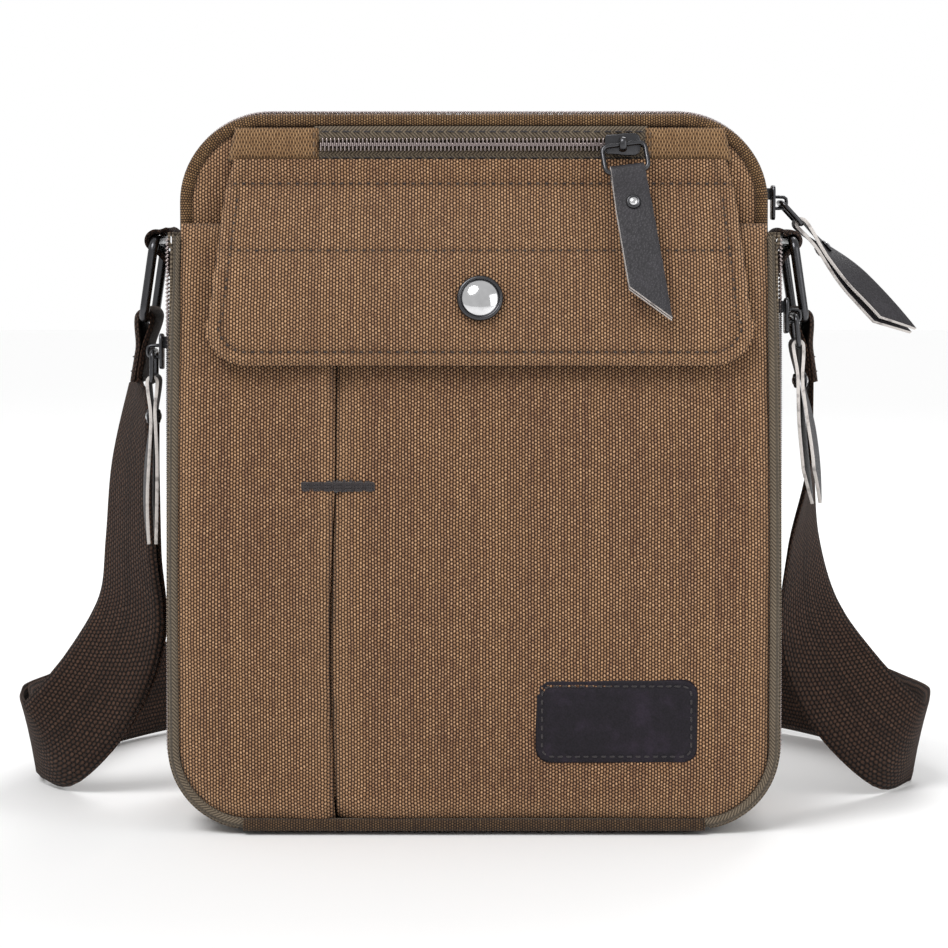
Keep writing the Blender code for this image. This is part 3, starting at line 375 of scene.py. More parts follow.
def make_object(name, verts, faces, materials, uv=None, face_slots=None):
    mesh = bpy.data.meshes.new(name)
    mesh.from_pydata([tuple(v) for v in verts], [], [tuple(f) for f in faces])
    for material in materials:
        mesh.materials.append(material)
    if uv is not None:
        layer = mesh.uv_layers.new(name="cloth")
        index = np.zeros(len(mesh.loops), np.int32)
        mesh.loops.foreach_get("vertex_index", index)
        layer.data.foreach_set("uv", np.asarray(uv, np.float32)[index].ravel())
    if face_slots is not None:
        mesh.polygons.foreach_set("material_index", np.asarray(face_slots, np.int32))
    mesh.shade_smooth()
    obj = bpy.data.objects.new(name, mesh)
    bpy.context.scene.collection.objects.link(obj)
    return obj


def face_out(obj, outward):
    """Turns the faces so that they look along outward, a vector or a function of a face's centre."""
    total = 0.0
    for face in obj.data.polygons:
        want = outward(face.center) if callable(outward) else outward
        total += face.normal.dot(want) * face.area
    if total < 0:
        obj.data.flip_normals()
    return obj


def thicken(obj, thickness, rim_slot=0, bevel=0.0):
    made = obj.modifiers.new("thickness", "SOLIDIFY")
    made.thickness = thickness
    made.offset = -1
    made.use_even_offset = False
    made.material_offset_rim = rim_slot
    if bevel:
        soft = obj.modifiers.new("soft_edges", "BEVEL")
        soft.width = bevel
        soft.segments = 3
        soft.limit_method = "ANGLE"
        soft.angle_limit = math.radians(50)
    return obj


def grid(name, rows, materials, uv, closed_rows=False, closed_columns=False):
    """A sheet of quads from an array of rows of points."""
    rows = np.asarray(rows, float)
    count, width = rows.shape[:2]
    faces = []
    for i in range(count if closed_rows else count - 1):
        for j in range(width if closed_columns else width - 1):
            k, m = (i + 1) % count, (j + 1) % width
            faces.append((i * width + j, i * width + m, k * width + m, k * width + j))
    return make_object(name, rows.reshape(-1, 3), faces, materials, np.asarray(uv, float).reshape(-1, 2))


def rumple(x, y, z, size, amount, seed=0.0):
    return amount * noise.noise(Vector((x / size + seed, y / size + 2 * seed, z / size - seed)))


def outline_points(half, low, high, low_radius, high_radius, step):
    """(x, z, outward x, outward z) round a rounded rectangle from the bottom's middle, right side first."""
    points = []

    def line(start, end, normal):
        count = max(1, math.ceil(math.dist(start, end) / step))
        for k in range(count):
            t = k / count
            points.append((start[0] + (end[0] - start[0]) * t, start[1] + (end[1] - start[1]) * t, *normal))

    def corner(x, z, radius, start):
        count = max(2, math.ceil(radius * math.pi / 2 / step))
        for k in range(count):
            angle = math.radians(start + 90 * k / count)
            c, s = math.cos(angle), math.sin(angle)
            points.append((x + radius * c, z + radius * s, c, s))

    rl, rh = low_radius, high_radius
    line((0, low), (half - rl, low), (0, -1))
    corner(half - rl, low + rl, rl, -90)
    line((half, low + rl), (half, high - rh), (1, 0))
    corner(half - rh, high - rh, rh, 0)
    line((half - rh, high), (-half + rh, high), (0, 1))
    corner(-half + rh, high - rh, rh, 90)
    line((-half, high - rh), (-half, low + rl), (-1, 0))
    corner(-half + rl, low + rl, rl, 180)
    line((-half + rl, low), (0, low), (0, -1))
    return np.array(points)


def stretch(points, keep):
    """The longest unbroken run of a closed outline's points that keep() accepts."""
    good = np.array([keep(x, z) for x, z, _, _ in points])
    if good.all():
        return points
    start = next(i for i in range(len(good)) if good[i] and not good[i - 1])
    points, good = np.roll(points, -start, 0), np.roll(good, -start)
    return points[: int(np.argmin(good))] if not good.all() else points


def lengths(points):
    points = np.asarray(points, float)
    steps = np.linalg.norm(np.diff(points, axis=0), axis=1)
    return np.concatenate([[0], np.cumsum(steps)])


def band(name, path, profile, materials, closed=False):
    """Cloth swept along an outline. profile(x, z, s) gives (inset, y) points across it."""
    along = lengths(path[:, :2])
    rows, uv = [], []
    for (x, z, nx, nz), s in zip(path, along):
        cross = profile(x, z, s)
        rows.append([(x - nx * inset, y, z - nz * inset) for inset, y in cross])
        across = lengths([(inset, y) for inset, y in cross])
        uv.append([(s, t) for t in across])
    obj = grid(name, rows, materials, uv, closed_rows=closed)
    middle = Vector((0, 0, TOP / 2))
    return obj, middle


def cord(name, points, radius, materials, closed=True, sides=12, radii=None, up=None):
    """A round cord or wire through points, with its ends rounded off when it is open."""
    points = [Vector(p) for p in points]
    count = len(points)
    if radii is None:
        radii = [radius] * count
    if not closed:
        ahead, behind = (points[1] - points[0]).normalized(), (points[-1] - points[-2]).normalized()
        cap = [(0.0, -1.0), (0.55, -0.83), (0.85, -0.5)]
        start = [(points[0] + ahead * h * radius, r * radius) for r, h in cap]
        end = [(points[-1] - behind * h * radius, r * radius) for r, h in reversed(cap)]
        points = [p for p, _ in start] + points + [p for p, _ in end]
        radii = [max(r, 1e-5) for _, r in start] + list(radii) + [max(r, 1e-5) for _, r in end]
        count = len(points)
    rows, uv, s = [], [], 0.0
    side = Vector(up) if up is not None else None
    for i, (p, r) in enumerate(zip(points, radii)):
        if closed:
            ahead = (points[(i + 1) % count] - points[i - 1]).normalized()
        else:
            ahead = (points[min(i + 1, count - 1)] - points[max(i - 1, 0)]).normalized()
        if side is None:
            side = ahead.orthogonal()
        side = (side - ahead * side.dot(ahead)).normalized()
        other = ahead.cross(side)
        if i:
            s += (p - points[i - 1]).length
        ring, ring_uv = [], []
        for k in range(sides):
            angle = 2 * math.pi * k / sides
            ring.append(p + side * (r * math.cos(angle)) + other * (r * math.sin(angle)))
            ring_uv.append((s, radius * angle))
        rows.append(ring)
        uv.append(ring_uv)
    obj = grid(name, rows, materials, uv, closed_rows=closed, closed_columns=True)
    if not closed:
        body = bmesh.new()
        body.from_mesh(obj.data)
        bmesh.ops.remove_doubles(body, verts=body.verts, dist=2e-5)
        bmesh.ops.holes_fill(body, edges=body.edges, sides=sides)
        bmesh.ops.recalc_face_normals(body, faces=body.faces)
        body.to_mesh(obj.data)
        body.free()
    else:
        body = bmesh.new()
        body.from_mesh(obj.data)
        bmesh.ops.recalc_face_normals(body, faces=body.faces)
        body.to_mesh(obj.data)
        body.free()
    obj.data.shade_smooth()
    return obj


def join(name, objects):
    """One object from several that share a world."""
    bpy.ops.object.select_all(action="DESELECT")
    for obj in objects:
        obj.select_set(True)
    bpy.context.view_layer.objects.active = objects[0]
    bpy.ops.object.join()
    objects[0].name = name
    objects[0].data.name = name
    return objects[0]


def rounded_distance(x, z, half, low, high, low_radius, high_radius):
    """Distance inside a rounded rectangle's edge, negative outside it."""
    middle, tall = (low + high) / 2, (high - low) / 2
    radius = high_radius if z > middle else low_radius
    dx, dz = abs(x) - half + radius, abs(z - middle) - tall + radius
    return radius - math.hypot(max(dx, 0), max(dz, 0)) - min(max(dx, dz), 0)


def inside_distance(points, loop):
    """Signed distance from points to a closed outline, positive inside."""
    points, loop = np.asarray(points, float), np.asarray(loop, float)
    best = np.full(len(points), 1e9)
    inside = np.zeros(len(points), bool)
    px, pz = points[:, 0], points[:, 1]
    for (ax, az), (bx, bz) in zip(loop, np.roll(loop, -1, 0)):
        dx, dz = bx - ax, bz - az
        t = np.clip(((px - ax) * dx + (pz - az) * dz) / max(dx * dx + dz * dz, 1e-18), 0, 1)
        best = np.minimum(best, (px - ax - t * dx) ** 2 + (pz - az - t * dz) ** 2)
        if az != bz:
            inside ^= ((az > pz) != (bz > pz)) & (px < ax + (pz - az) * dx / dz)
    return np.where(inside, 1, -1) * np.sqrt(best)


def point_values(obj, name, values):
    attribute = obj.data.attributes.get(name) or obj.data.attributes.new(name, "FLOAT", "POINT")
    attribute.data.foreach_set("value", np.asarray(values, np.float32))


def panel(name, loop, depth, materials, step=2.0 * MM, holes=()):
    """A flat-cut piece of cloth with a given (x, z) outline. depth(x, z, edge) gives its y."""
    loop = np.asarray(loop, float)
    low, high = loop.min(0), loop.max(0)
    xs = np.arange(low[0] + step / 2, high[0], step)
    zs = np.arange(low[1] + step / 2, high[1], step)
    cloud = np.array([(x, z) for z in zs for x in xs])
    keep = inside_distance(cloud, loop) > step * 0.45
    for hole in holes:
        keep &= inside_distance(cloud, hole) < -step * 0.45
    cloud = cloud[keep]
    borders = [loop] + [np.asarray(hole, float) for hole in holes]
    points, edges = list(map(Vector, cloud)), []
    for border in borders:
        first = len(points)
        points += [Vector(p) for p in border]
        edges += [(first + k, first + (k + 1) % len(border)) for k in range(len(border))]
    made = delaunay_2d_cdt(points, edges, [], 0, 1e-7)
    flat = np.array([(p.x, p.y) for p in made[0]])
    faces = [f for f in made[2]]
    centres = np.array([flat[list(f)].mean(0) for f in faces])
    good = inside_distance(centres, loop) > 0
    for hole in holes:
        good &= inside_distance(centres, hole) < 0
    faces = [f for f, ok in zip(faces, good) if ok]
    edge = inside_distance(flat, loop)
    for hole in holes:
        edge = np.minimum(edge, -inside_distance(flat, hole))
    edge = np.maximum(edge, 0)
    verts = [(x, depth(x, z, e), z) for (x, z), e in zip(flat, edge)]
    obj = make_object(name, verts, faces, materials, flat)
    point_values(obj, "wear_and_painted_light", np.exp(-((edge / (6 * MM)) ** 2)))
    body = bmesh.new()
    body.from_mesh(obj.data)
    bmesh.ops.delete(body, geom=[v for v in body.verts if not v.link_faces], context="VERTS")
    body.to_mesh(obj.data)
    body.free()
    return face_out(obj, Vector((0, -1, 0)))


def line_points(points, step):
    """Points evenly spaced along a polyline."""
    points = np.asarray([tuple(p) for p in points], float)
    along = lengths(points)
    count = max(2, int(along[-1] / step) + 1)
    where = np.linspace(0, along[-1], count)
    return np.stack([np.interp(where, along, points[:, k]) for k in range(3)], 1)


def stitches(name, line, normal, material=None, length=2.5 * MM, space=1.0 * MM, radius=0.26 * MM):
    """A row of sewing stitches that dip into the cloth at their ends."""
    line = np.asarray([tuple(p) for p in line], float)
    along = lengths(line)
    total = along[-1]
    count = max(1, round(total / (length + space)))
    pitch = total / count
    verts, faces, uv = [], [], []
    sides, rings = 6, 6
    for k in range(count):
        first, last = pitch * k + space / 2, pitch * (k + 1) - space / 2
        base = len(verts)
        for r in range(rings):
            t = r / (rings - 1)
            s = first + (last - first) * t
            p = Vector([np.interp(s, along, line[:, c]) for c in range(3)])
            q = Vector([np.interp(min(s + 0.0004, total), along, line[:, c]) for c in range(3)])
            o = Vector([np.interp(max(s - 0.0004, 0), along, line[:, c]) for c in range(3)])
            ahead = (q - o).normalized()
            out = normal(p) if callable(normal) else Vector(normal)
            out = (out - ahead * out.dot(ahead)).normalized()
            side = ahead.cross(out)
            bow = math.sin(math.pi * t)
            size = radius * (0.35 + 0.65 * min(1.0, 3.2 * bow))
            lift = radius * (-1.1 + 1.9 * min(1.0, 1.8 * bow))
            for c in range(sides):
                angle = 2 * math.pi * c / sides
                verts.append(p + out * (lift + size * math.sin(angle)) + side * (size * math.cos(angle)))
                uv.append((s, size * angle))
        for r in range(rings - 1):
            for c in range(sides):
                a, b = base + r * sides + c, base + r * sides + (c + 1) % sides
                faces.append((a, b, b + sides, a + sides))
        faces.append(tuple(base + c for c in reversed(range(sides))))
        faces.append(tuple(base + (rings - 1) * sides + c for c in range(sides)))
    obj = make_object(name, verts, faces, [material or THREAD], uv)
    body = bmesh.new()
    body.from_mesh(obj.data)
    bmesh.ops.recalc_face_normals(body, faces=body.faces)
    body.to_mesh(obj.data)
    body.free()
    return obj


def chain(name, line, side, out, reach=2.3 * MM, pitch=1.35 * MM, shift=0.0, height=1.1 * MM, overlap=0.35 * MM):
    """One row of zip teeth along a line at the chain's middle. side points from the tape towards
    the other row and out points away from the bag; both may be functions of the place."""
    line = np.asarray([tuple(p) for p in line], float)
    along = lengths(line)
    total = along[-1]
    count = int((total - pitch) / pitch)
    verts, faces, uv = [], [], []
    sides = 8
    shape = [
        (-1.0, 0.30, 0.30), (-0.85, 0.36, 0.80), (-0.45, 0.34, 0.95), (-0.05, 0.38, 1.0), (0.12, 0.44, 0.95),
        (0.24, 0.30, 0.55),
    ]
    for k in range(count):
        s = pitch * (k + 0.5 + shift)
        p = Vector([np.interp(s, along, line[:, c]) for c in range(3)])
        q = Vector([np.interp(min(s + MM, total), along, line[:, c]) for c in range(3)])
        o = Vector([np.interp(max(s - MM, 0), along, line[:, c]) for c in range(3)])
        ahead = (q - o).normalized()
        across = Vector(side(p)) if callable(side) else Vector(side)
        across = (across - ahead * across.dot(ahead)).normalized()
        up = Vector(out(p)) if callable(out) else Vector(out)
        up = (up - ahead * up.dot(ahead) - across * up.dot(across)).normalized()
        base = len(verts)
        for t, wide, tall in shape:
            place = p + across * (t * reach + overlap * 0.3) + up * (height * (tall - 0.55) * 0.5)
            for c in range(sides):
                angle = 2 * math.pi * c / sides
                verts.append(
                    place + ahead * (math.cos(angle) * wide * pitch * 0.62) + up * (math.sin(angle) * height * 0.5 * (0.5 + 0.5 * tall))
                )
                uv.append((s, t))
        rings = len(shape)
        for r in range(rings - 1):
            for c in range(sides):
                a, b = base + r * sides + c, base + r * sides + (c + 1) % sides
                faces.append((a, b, b + sides, a + sides))
        faces.append(tuple(base + c for c in reversed(range(sides))))
        faces.append(tuple(base + (rings - 1) * sides + c for c in range(sides)))
    obj = make_object(name, verts, faces, [TEETH], uv)
    body = bmesh.new()
    body.from_mesh(obj.data)
    bmesh.ops.recalc_face_normals(body, faces=body.faces)
    body.to_mesh(obj.data)
    body.free()
    return obj


def place_on(obj, body, *nodes, slot=None):
    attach(obj, body)
    if nodes:
        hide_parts(*nodes)
    return obj


def puff(obj, pinned, pressure, cap, frames=20, stiffness=12.0, shrink=0.0):
    """Fills a cloth piece with air for a moment. pinned(place) is 1 where the cloth is held by a seam."""
    group = obj.vertex_groups.new(name="held")
    rest = np.array([v.co for v in obj.data.vertices], float)
    for vertex in obj.data.vertices:
        group.add([vertex.index], min(max(pinned(vertex.co), 0.0), 1.0), "REPLACE")
    cloth = obj.modifiers.new("cloth", "CLOTH")
    settings = cloth.settings
    settings.quality = 5
    settings.mass = 0.15
    settings.tension_stiffness = stiffness
    settings.compression_stiffness = stiffness
    settings.bending_stiffness = 0.6
    settings.use_pressure = True
    settings.uniform_pressure_force = pressure
    settings.vertex_group_mass = "held"
    settings.pin_stiffness = 1.0
    settings.shrink_min = shrink
    settings.effector_weights.gravity = 0.0
    cloth.collision_settings.use_collision = False
    cloth.point_cache.frame_start = 1
    cloth.point_cache.frame_end = frames
    scene = bpy.context.scene
    for step in range(1, frames + 1):
        scene.frame_set(step)
    graph = bpy.context.evaluated_depsgraph_get()
    made = obj.evaluated_get(graph).to_mesh()
    moved = np.array([v.co for v in made.vertices], float)
    obj.evaluated_get(graph).to_mesh_clear()
    obj.modifiers.remove(cloth)
    scene.frame_set(1)
    shift = moved - rest
    size = np.linalg.norm(shift, axis=1, keepdims=True)
    shift *= np.minimum(1.0, cap / np.maximum(size, 1e-9))
    obj.data.vertices.foreach_set("co", (rest + shift).astype(np.float32).ravel())
    obj.data.update()
    return obj

# ---------------------------------------------------------------- main compartment

BODY_MIDDLE = Vector((0, (FRONT + BACK) / 2, TOP / 2))


def away(centre):
    return centre - BODY_MIDDLE


def body_outline(inset, step=3 * MM):
    return outline_points(
        HALF_WIDTH - inset, inset, TOP - inset, BOTTOM_RADIUS - inset, TOP_RADIUS - inset, step)


def soften(e, reach, depth):
    """How far cloth falls back near a seam at distance e."""
    return depth * (1 - math.sin(math.pi / 2 * min(e / reach, 1)))


def main_panels():
    loop = body_outline(3.4 * MM)[:, :2]
    zip_low, zip_high = FRONT_ZIP_Z - 4.6 * MM, FRONT_ZIP_Z + 4.6 * MM
    left, right = FRONT_ZIP_LOW.x - 1.2 * MM, FRONT_ZIP_HIGH.x + 0.8 * MM
    mouth = [(left, zip_low), (right, zip_low), (right, zip_high), (left, zip_high)]
    mouth = [(p.x, p.y) for a, b in zip(mouth, mouth[1:] + mouth[:1])
             for p in (Vector(a).lerp(Vector(b), k / 12) for k in range(12))]

    def front_depth(x, z, e):
        return FRONT + 0.2 * MM + soften(e, 4.5 * MM, 2.2 * MM) - rumple(x, 0, z, 30 * MM, 0.3 * MM, 1)

    front = panel("front_panel", loop, front_depth, [CLOTH], 3 * MM, holes=[mouth])
    place_on(thicken(front, CANVAS * 0.8), "bag", "main_front_panel", slot="canvas")

    def back_depth(x, z, e):
        return BACK - 0.6 * MM - soften(e, 9 * MM, 1.6 * MM) + rumple(x, 0, z, 40 * MM, 0.5 * MM, 2)

    back = panel("back_panel_cloth", loop, back_depth, [CLOTH], 3.5 * MM)
    face_out(back, Vector((0, 1, 0)))

    def held(p):
        inset = 3.4 * MM
        reach = rounded_distance(
            p.x, p.z, HALF_WIDTH - inset, inset, TOP - inset, BOTTOM_RADIUS - inset, TOP_RADIUS - inset)
        return max(0.0, 1.0 - reach / (8 * MM))

    puff(back, held, 0.6, 1.2 * MM)
    place_on(thicken(back, CANVAS * 0.8), "bag", "back_panel", slot="canvas")


def piping():
    path = body_outline(PIPING_INSET + 0.2 * MM, 2.5 * MM)
    for name, y, seam in (("front", FRONT + PIPING, 1), ("rear", BACK - PIPING, -1)):
        points = [(x, y, z) for x, z, _, _ in path]
        made = cord("piping_cord_" + name, points, PIPING + 0.15 * MM, [EDGE_CLOTH], sides=14)
        place_on(made, "bag", "piping_" + name, slot="canvas")


LAP = 3.5 * MM                  # the top gusset and zip lie over the lower gusset's ends by this much


def gussets():
    split = GUSSET_SPLIT

    def lower(x, z):
        return z <= split

    def upper(x, z):
        return z >= split - LAP

    low_y, high_y = box("gusset_lower")[0].y - 1.6 * MM, box("gusset_lower")[1].y + 1.6 * MM

    def full(x, z, s):
        ys = np.linspace(low_y, high_y, 17)
        edge = [min(y - low_y, high_y - y) for y in ys]
        tucked = 1.8 * MM * min(max((z - split + 2.2 * LAP) / LAP, 0), 1)
        return [(soften(e, 6 * MM, 1.2 * MM) + tucked - rumple(x, y, z, 26 * MM, 0.35 * MM, 3), y)
                for y, e in zip(ys, edge)]

    made, _ = band("gusset_side_and_base", stretch(body_outline(0, 2.5 * MM), lower), full, [CLOTH])
    face_out(made, away)
    place_on(thicken(made, CANVAS), "bag", "gusset_lower", slot="canvas")
    path = stretch(body_outline(0, 2.0 * MM), upper)
    for name in ("front", "rear"):
        low, high = box("gusset_top_" + name)
        seam_side = low.y - 1.6 * MM if name == "front" else high.y + 1.6 * MM
        zip_side = high.y if name == "front" else low.y
        ys = np.linspace(seam_side, zip_side, 9)

        def half(x, z, s, ys=ys, seam_side=seam_side, zip_side=zip_side):
            rows = []
            for y in ys:
                fall = soften(abs(y - seam_side), 5 * MM, 1.2 * MM) + soften(abs(y - zip_side), 1.5 * MM, 0.5 * MM)
                rows.append((fall - rumple(x, y, z, 20 * MM, 0.25 * MM, 4), y))
            return rows

        made, _ = band("gusset_top_cloth_" + name, path, half, [CLOTH])
        face_out(made, away)
        place_on(thicken(made, CANVAS), "bag", "gusset_top_" + name, slot="canvas")
        row_y = zip_side + (1.8 * MM if name == "rear" else -1.8 * MM)
        line = [(x, row_y, z) for x, z, _, _ in path]
        row = stitches("gusset_stitches_" + name, line, away)
        place_on(row, "bag", slot="thread")


def main_zip():
    path = stretch(body_outline(0.6 * MM, 2.0 * MM), lambda x, z: z >= GUSSET_SPLIT - LAP)
    halves = []
    for name, side in (("front", -1), ("rear", 1)):
        low, high = box("main_zip_half_" + name)
        edge = low.y - 1.5 * MM if side < 0 else high.y + 1.5 * MM
        near = MAIN_ZIP_Y + side * 0.9 * MM
        ys = np.linspace(edge, near, 5)
        made, _ = band("main_zip_tape_" + name, path, lambda x, z, s: [(0.4 * MM, y) for y in ys], [TAPE])
        face_out(made, away)
        thicken(made, 0.8 * MM)
        line = [(x + nx * 1.4 * MM, MAIN_ZIP_Y, z + nz * 1.4 * MM) for x, z, nx, nz in path]
        teeth = chain("main_zip_teeth_" + name, line, (0, -side, 0), away, shift=0.25 * side)
        place_on(made, "bag", "main_zip_half_" + name, slot="zip_tape")
        place_on(teeth, "bag", slot="zip_tape")
        halves.append(made)


def linings():
    inset = 5.4 * MM
    low, high = box("main_lining")
    path = stretch(body_outline(inset, 4 * MM), lambda x, z: z <= high.z)
    ys = np.linspace(low.y + 0.4 * MM, high.y - 0.4 * MM, 9)
    wall, _ = band(
        "inner_bag_wall", path, lambda x, z, s: [(0.3 * MM + rumple(x, y, z, 25 * MM, 0.3 * MM, 5), y) for y in ys], [LINING])
    face_out(wall, away)
    pieces = [wall]
    loop = [(x, z) for x, z, _, _ in path]
    for y, name in ((low.y + 0.4 * MM, "front"), (high.y - 0.4 * MM, "rear")):
        side = panel("inner_bag_" + name, loop, lambda x, z, e: y + rumple(x, y, z, 30 * MM, 0.3 * MM, 6), [LINING], 6 * MM)
        if name == "rear":
            face_out(side, Vector((0, 1, 0)))
        pieces.append(side)
    bag_lining = join("inner_bag", pieces)
    place_on(thicken(bag_lining, 0.6 * MM), "bag", "main_lining", slot="lining")
    low, high = box("zip_pocket_lining")
    corners = outline_points((high.x - low.x) / 2, low.z, high.z, 8 * MM, 4 * MM, 4 * MM)[:, :2]
    pocket = panel("zip_pocket_cloth", corners, lambda x, z, e: (low.y + high.y) / 2, [LINING], 5 * MM)
    place_on(thicken(pocket, 0.5 * MM), "bag", "zip_pocket_lining", slot="lining")


# ---------------------------------------------------------------- front zip and its yoke

def front_zip():
    left, right = FRONT_ZIP_LOW.x, FRONT_ZIP_HIGH.x
    for name, side in (("lower", -1), ("upper", 1)):
        near, far = FRONT_ZIP_Z + side * 0.9 * MM, FRONT_ZIP_Z + side * 6.2 * MM
        xs = np.arange(left - 2 * MM, right + 2 * MM, 1.5 * MM)
        zs = np.linspace(near, far, 5)
        rows = [[(x, FRONT - 0.5 * MM, z) for z in zs] for x in xs]
        tape = grid("front_zip_tape_" + name, rows, [TAPE], [[(x, z) for z in zs] for x in xs])
        face_out(tape, Vector((0, -1, 0)))
        place_on(thicken(tape, 0.6 * MM), "bag", "front_zip_half_" + name, slot="zip_tape")
        line = [(x, FRONT - 1.5 * MM, FRONT_ZIP_Z) for x in (left, right)]
        teeth = chain(
            "front_zip_teeth_" + name, line, (0, 0, -side), (0, -1, 0), reach=2.5 * MM, shift=0.25 * side)
        place_on(teeth, "bag", slot="zip_tape")
        row = [(left, FRONT - 0.6 * MM, FRONT_ZIP_Z + side * 4.4 * MM), (right, FRONT - 0.6 * MM, FRONT_ZIP_Z + side * 4.4 * MM)]
        place_on(stitches("front_zip_stitches_" + name, row, (0, -1, 0), DARK_THREAD), "bag", slot="thread")


def yoke():
    low, high = box("front_yoke")
    base, top = FRONT_ZIP_Z - 5.6 * MM, high.z + 0.2 * MM
    centre = (FLAP_LOW.x + FLAP_HIGH.x) / 2
    for name, near, far in (
        ("left", FRONT_ZIP_LOW.x - 0.3 * MM, centre - 83 * MM),
        ("right", FRONT_ZIP_HIGH.x + 0.3 * MM, centre + 83 * MM),
    ):
        slant = math.copysign(2.2 * MM, far)
        corners = [Vector((near, base)), Vector((far + slant, base)), Vector((far - slant * 0.2, top)), Vector((near, top))]
        if name == "left":
            corners.reverse()
        loop = [tuple(a.lerp(b, k / 10)) for a, b in zip(corners, corners[1:] + corners[:1]) for k in range(10)]

        def depth(x, z, e):
            return FRONT - 1.7 * MM + soften(e, 1.6 * MM, 1.0 * MM) - rumple(x, 0, z, 12 * MM, 0.2 * MM, 7)

        made = panel("zip_end_tab_" + name, loop, depth, [RIBBED], 1.5 * MM)
        place_on(thicken(made, 1.2 * MM), "bag", *(["front_yoke"] if name == "left" else []), slot="canvas")
        inner = near + math.copysign(1.6 * MM, far)
        row = [(inner, FRONT - 1.8 * MM, base + MM), (inner, FRONT - 1.8 * MM, top - MM)]
        place_on(stitches("zip_end_stitches_" + name, row, (0, -1, 0)), "bag", slot="thread")


# ---------------------------------------------------------------- pouch

TACK_Z = (box("pleat_bartack")[0].z + box("pleat_bartack")[1].z) / 2


def slit_x(z):
    """The pleat's opening line: straight to the bar tack, then bowing to the left."""
    tack = TACK_Z
    if z > tack:
        return PLEAT - 0.3 * MM * math.sin(math.pi * (z - tack) / (POUCH_HIGH.z - tack))
    return PLEAT - 2.0 * MM * math.sin(math.pi * z / tack)


TUCK = 0.8 * MM
POUCH_OUTLINE = outline_points(
    POUCH_HALF + TUCK, POUCH_LOW.z - TUCK, POUCH_HIGH.z, POUCH_RADIUS + TUCK, 0.8 * MM, 2.2 * MM)[:, :2]


def from_edge(x, z):
    return rounded_distance(
        x, z, POUCH_HALF + TUCK, POUCH_LOW.z - TUCK, POUCH_HIGH.z, POUCH_RADIUS + TUCK, 0.8 * MM)


def pouch_cloth(side):
    """One side of the pouch's front, left or right of the pleat."""
    right = side == "right"
    slit = [(slit_x(z) + (0.3 if right else -0.15) * MM, z) for z in np.linspace(POUCH_LOW.z - TUCK, POUCH_HIGH.z, 90)]
    kept = [(x, z) for x, z in POUCH_OUTLINE if (x > slit_x(z) + MM if right else x < slit_x(z) - MM)]
    loop = order_loop(kept, slit, right)
    slit_fall = 3.6 * MM if right else 2.8 * MM
    reach = 10 * MM if right else 4.5 * MM

    def depth(x, z, e):
        y = pouch_front(z)
        y += soften(max(from_edge(x, z), 0), 6 * MM, 2.8 * MM)
        gap = abs(x - slit_x(z))
        tack = TACK_Z
        pinch = 0.35 + 0.65 * min(1.0, abs(z - tack) / (30 * MM))
        y += soften(gap, reach, slit_fall) * pinch
        if not right:
            y -= 1.7 * MM * math.exp(-((gap - 7 * MM) / (8 * MM)) ** 2) * pinch
        y -= rumple(x, 0, z, 55 * MM, 1.1 * MM, 8) + rumple(x, 0, z * 0.6, 17 * MM, 0.35 * MM, 9)
        return y

    made = panel("pouch_cloth_" + side, loop, depth, [CLOTH], 2.2 * MM)
    stud = Vector(box("snap_stud")[0]).lerp(Vector(box("snap_stud")[1]), 0.5)

    def held(p):
        if p.z > 150 * MM or math.hypot(p.x - stud.x, p.z - stud.z) < 9 * MM:
            return 1.0
        near = min(from_edge(p.x, p.z), abs(p.x - slit_x(p.z)) * 1.5)
        return max(0.0, 1.0 - near / (6 * MM))

    puff(made, held, 0.9, 2.2 * MM)
    place_on(thicken(made, CANVAS), "pouch", "pouch_front_" + side, slot="canvas")


def order_loop(border, slit, right):
    """A counter-clockwise loop from the pouch's border points and the pleat line."""
    up = [p for p in slit]
    if right:
        low = [p for p in border if p[1] <= POUCH_LOW.z - TUCK + 1e-5]
        rest = [p for p in border if p not in low]
        low.sort()
        rest_top = sorted([p for p in rest if p[1] >= POUCH_HIGH.z - 1e-5], key=lambda p: -p[0])
        sides = sorted([p for p in rest if p not in rest_top], key=lambda p: (math.atan2(p[1] - 0.1, p[0])))
        return low + sides + rest_top + up[::-1]
    low = sorted([p for p in border if p[1] <= POUCH_LOW.z - TUCK + 1e-5])
    rest = [p for p in border if p not in low]
    rest_top = sorted([p for p in rest if p[1] >= POUCH_HIGH.z - 1e-5], key=lambda p: -p[0])
    sides = sorted([p for p in rest if p not in rest_top], key=lambda p: -p[1])
    return up + rest_top + sides + low


def pouch_inside():
    low, high = box("pleat_facing")
    loop = outline_points((high.x - low.x) / 2, low.z, high.z, MM, MM, 4 * MM)[:, :2] + np.array([(low.x + high.x) / 2, 0])
    made = panel("pleat_facing_cloth", loop, lambda x, z, e: pouch_front(z) + 3.8 * MM, [CLOTH], 4 * MM)
    place_on(thicken(made, 0.8 * MM), "pouch", "pleat_facing", slot="canvas")
    low, high = box("pouch_backing")
    loop = outline_points(high.x, low.z, high.z, POUCH_RADIUS, MM, 4 * MM)[:, :2]
    made = panel(
        "pouch_back_wall", loop, lambda x, z, e: backing_front(z) + 0.4 * MM + rumple(x, 0, z, 35 * MM, 0.8 * MM, 10),
        [LINING], 5 * MM)
    place_on(thicken(made, 0.7 * MM), "pouch", "pouch_backing", slot="lining")


def side_outline(inset, step=2.2 * MM):
    """The side zips' path, from the pouch's top down and round the bottom corner."""
    high = POUCH_HIGH.z - 2 * MM
    base = box("left_zip_half_rear")[0].z + 0.7 * MM
    points = outline_points(BAND_HALF - inset, base + inset, TOP, BOTTOM_RADIUS - inset, 0.5 * MM, step)
    return stretch(points, lambda x, z: x > 77.6 * MM and z < high)


def mirrored(path, hand):
    return path * np.array([-1, 1, -1, 1]) if hand == "left" else path


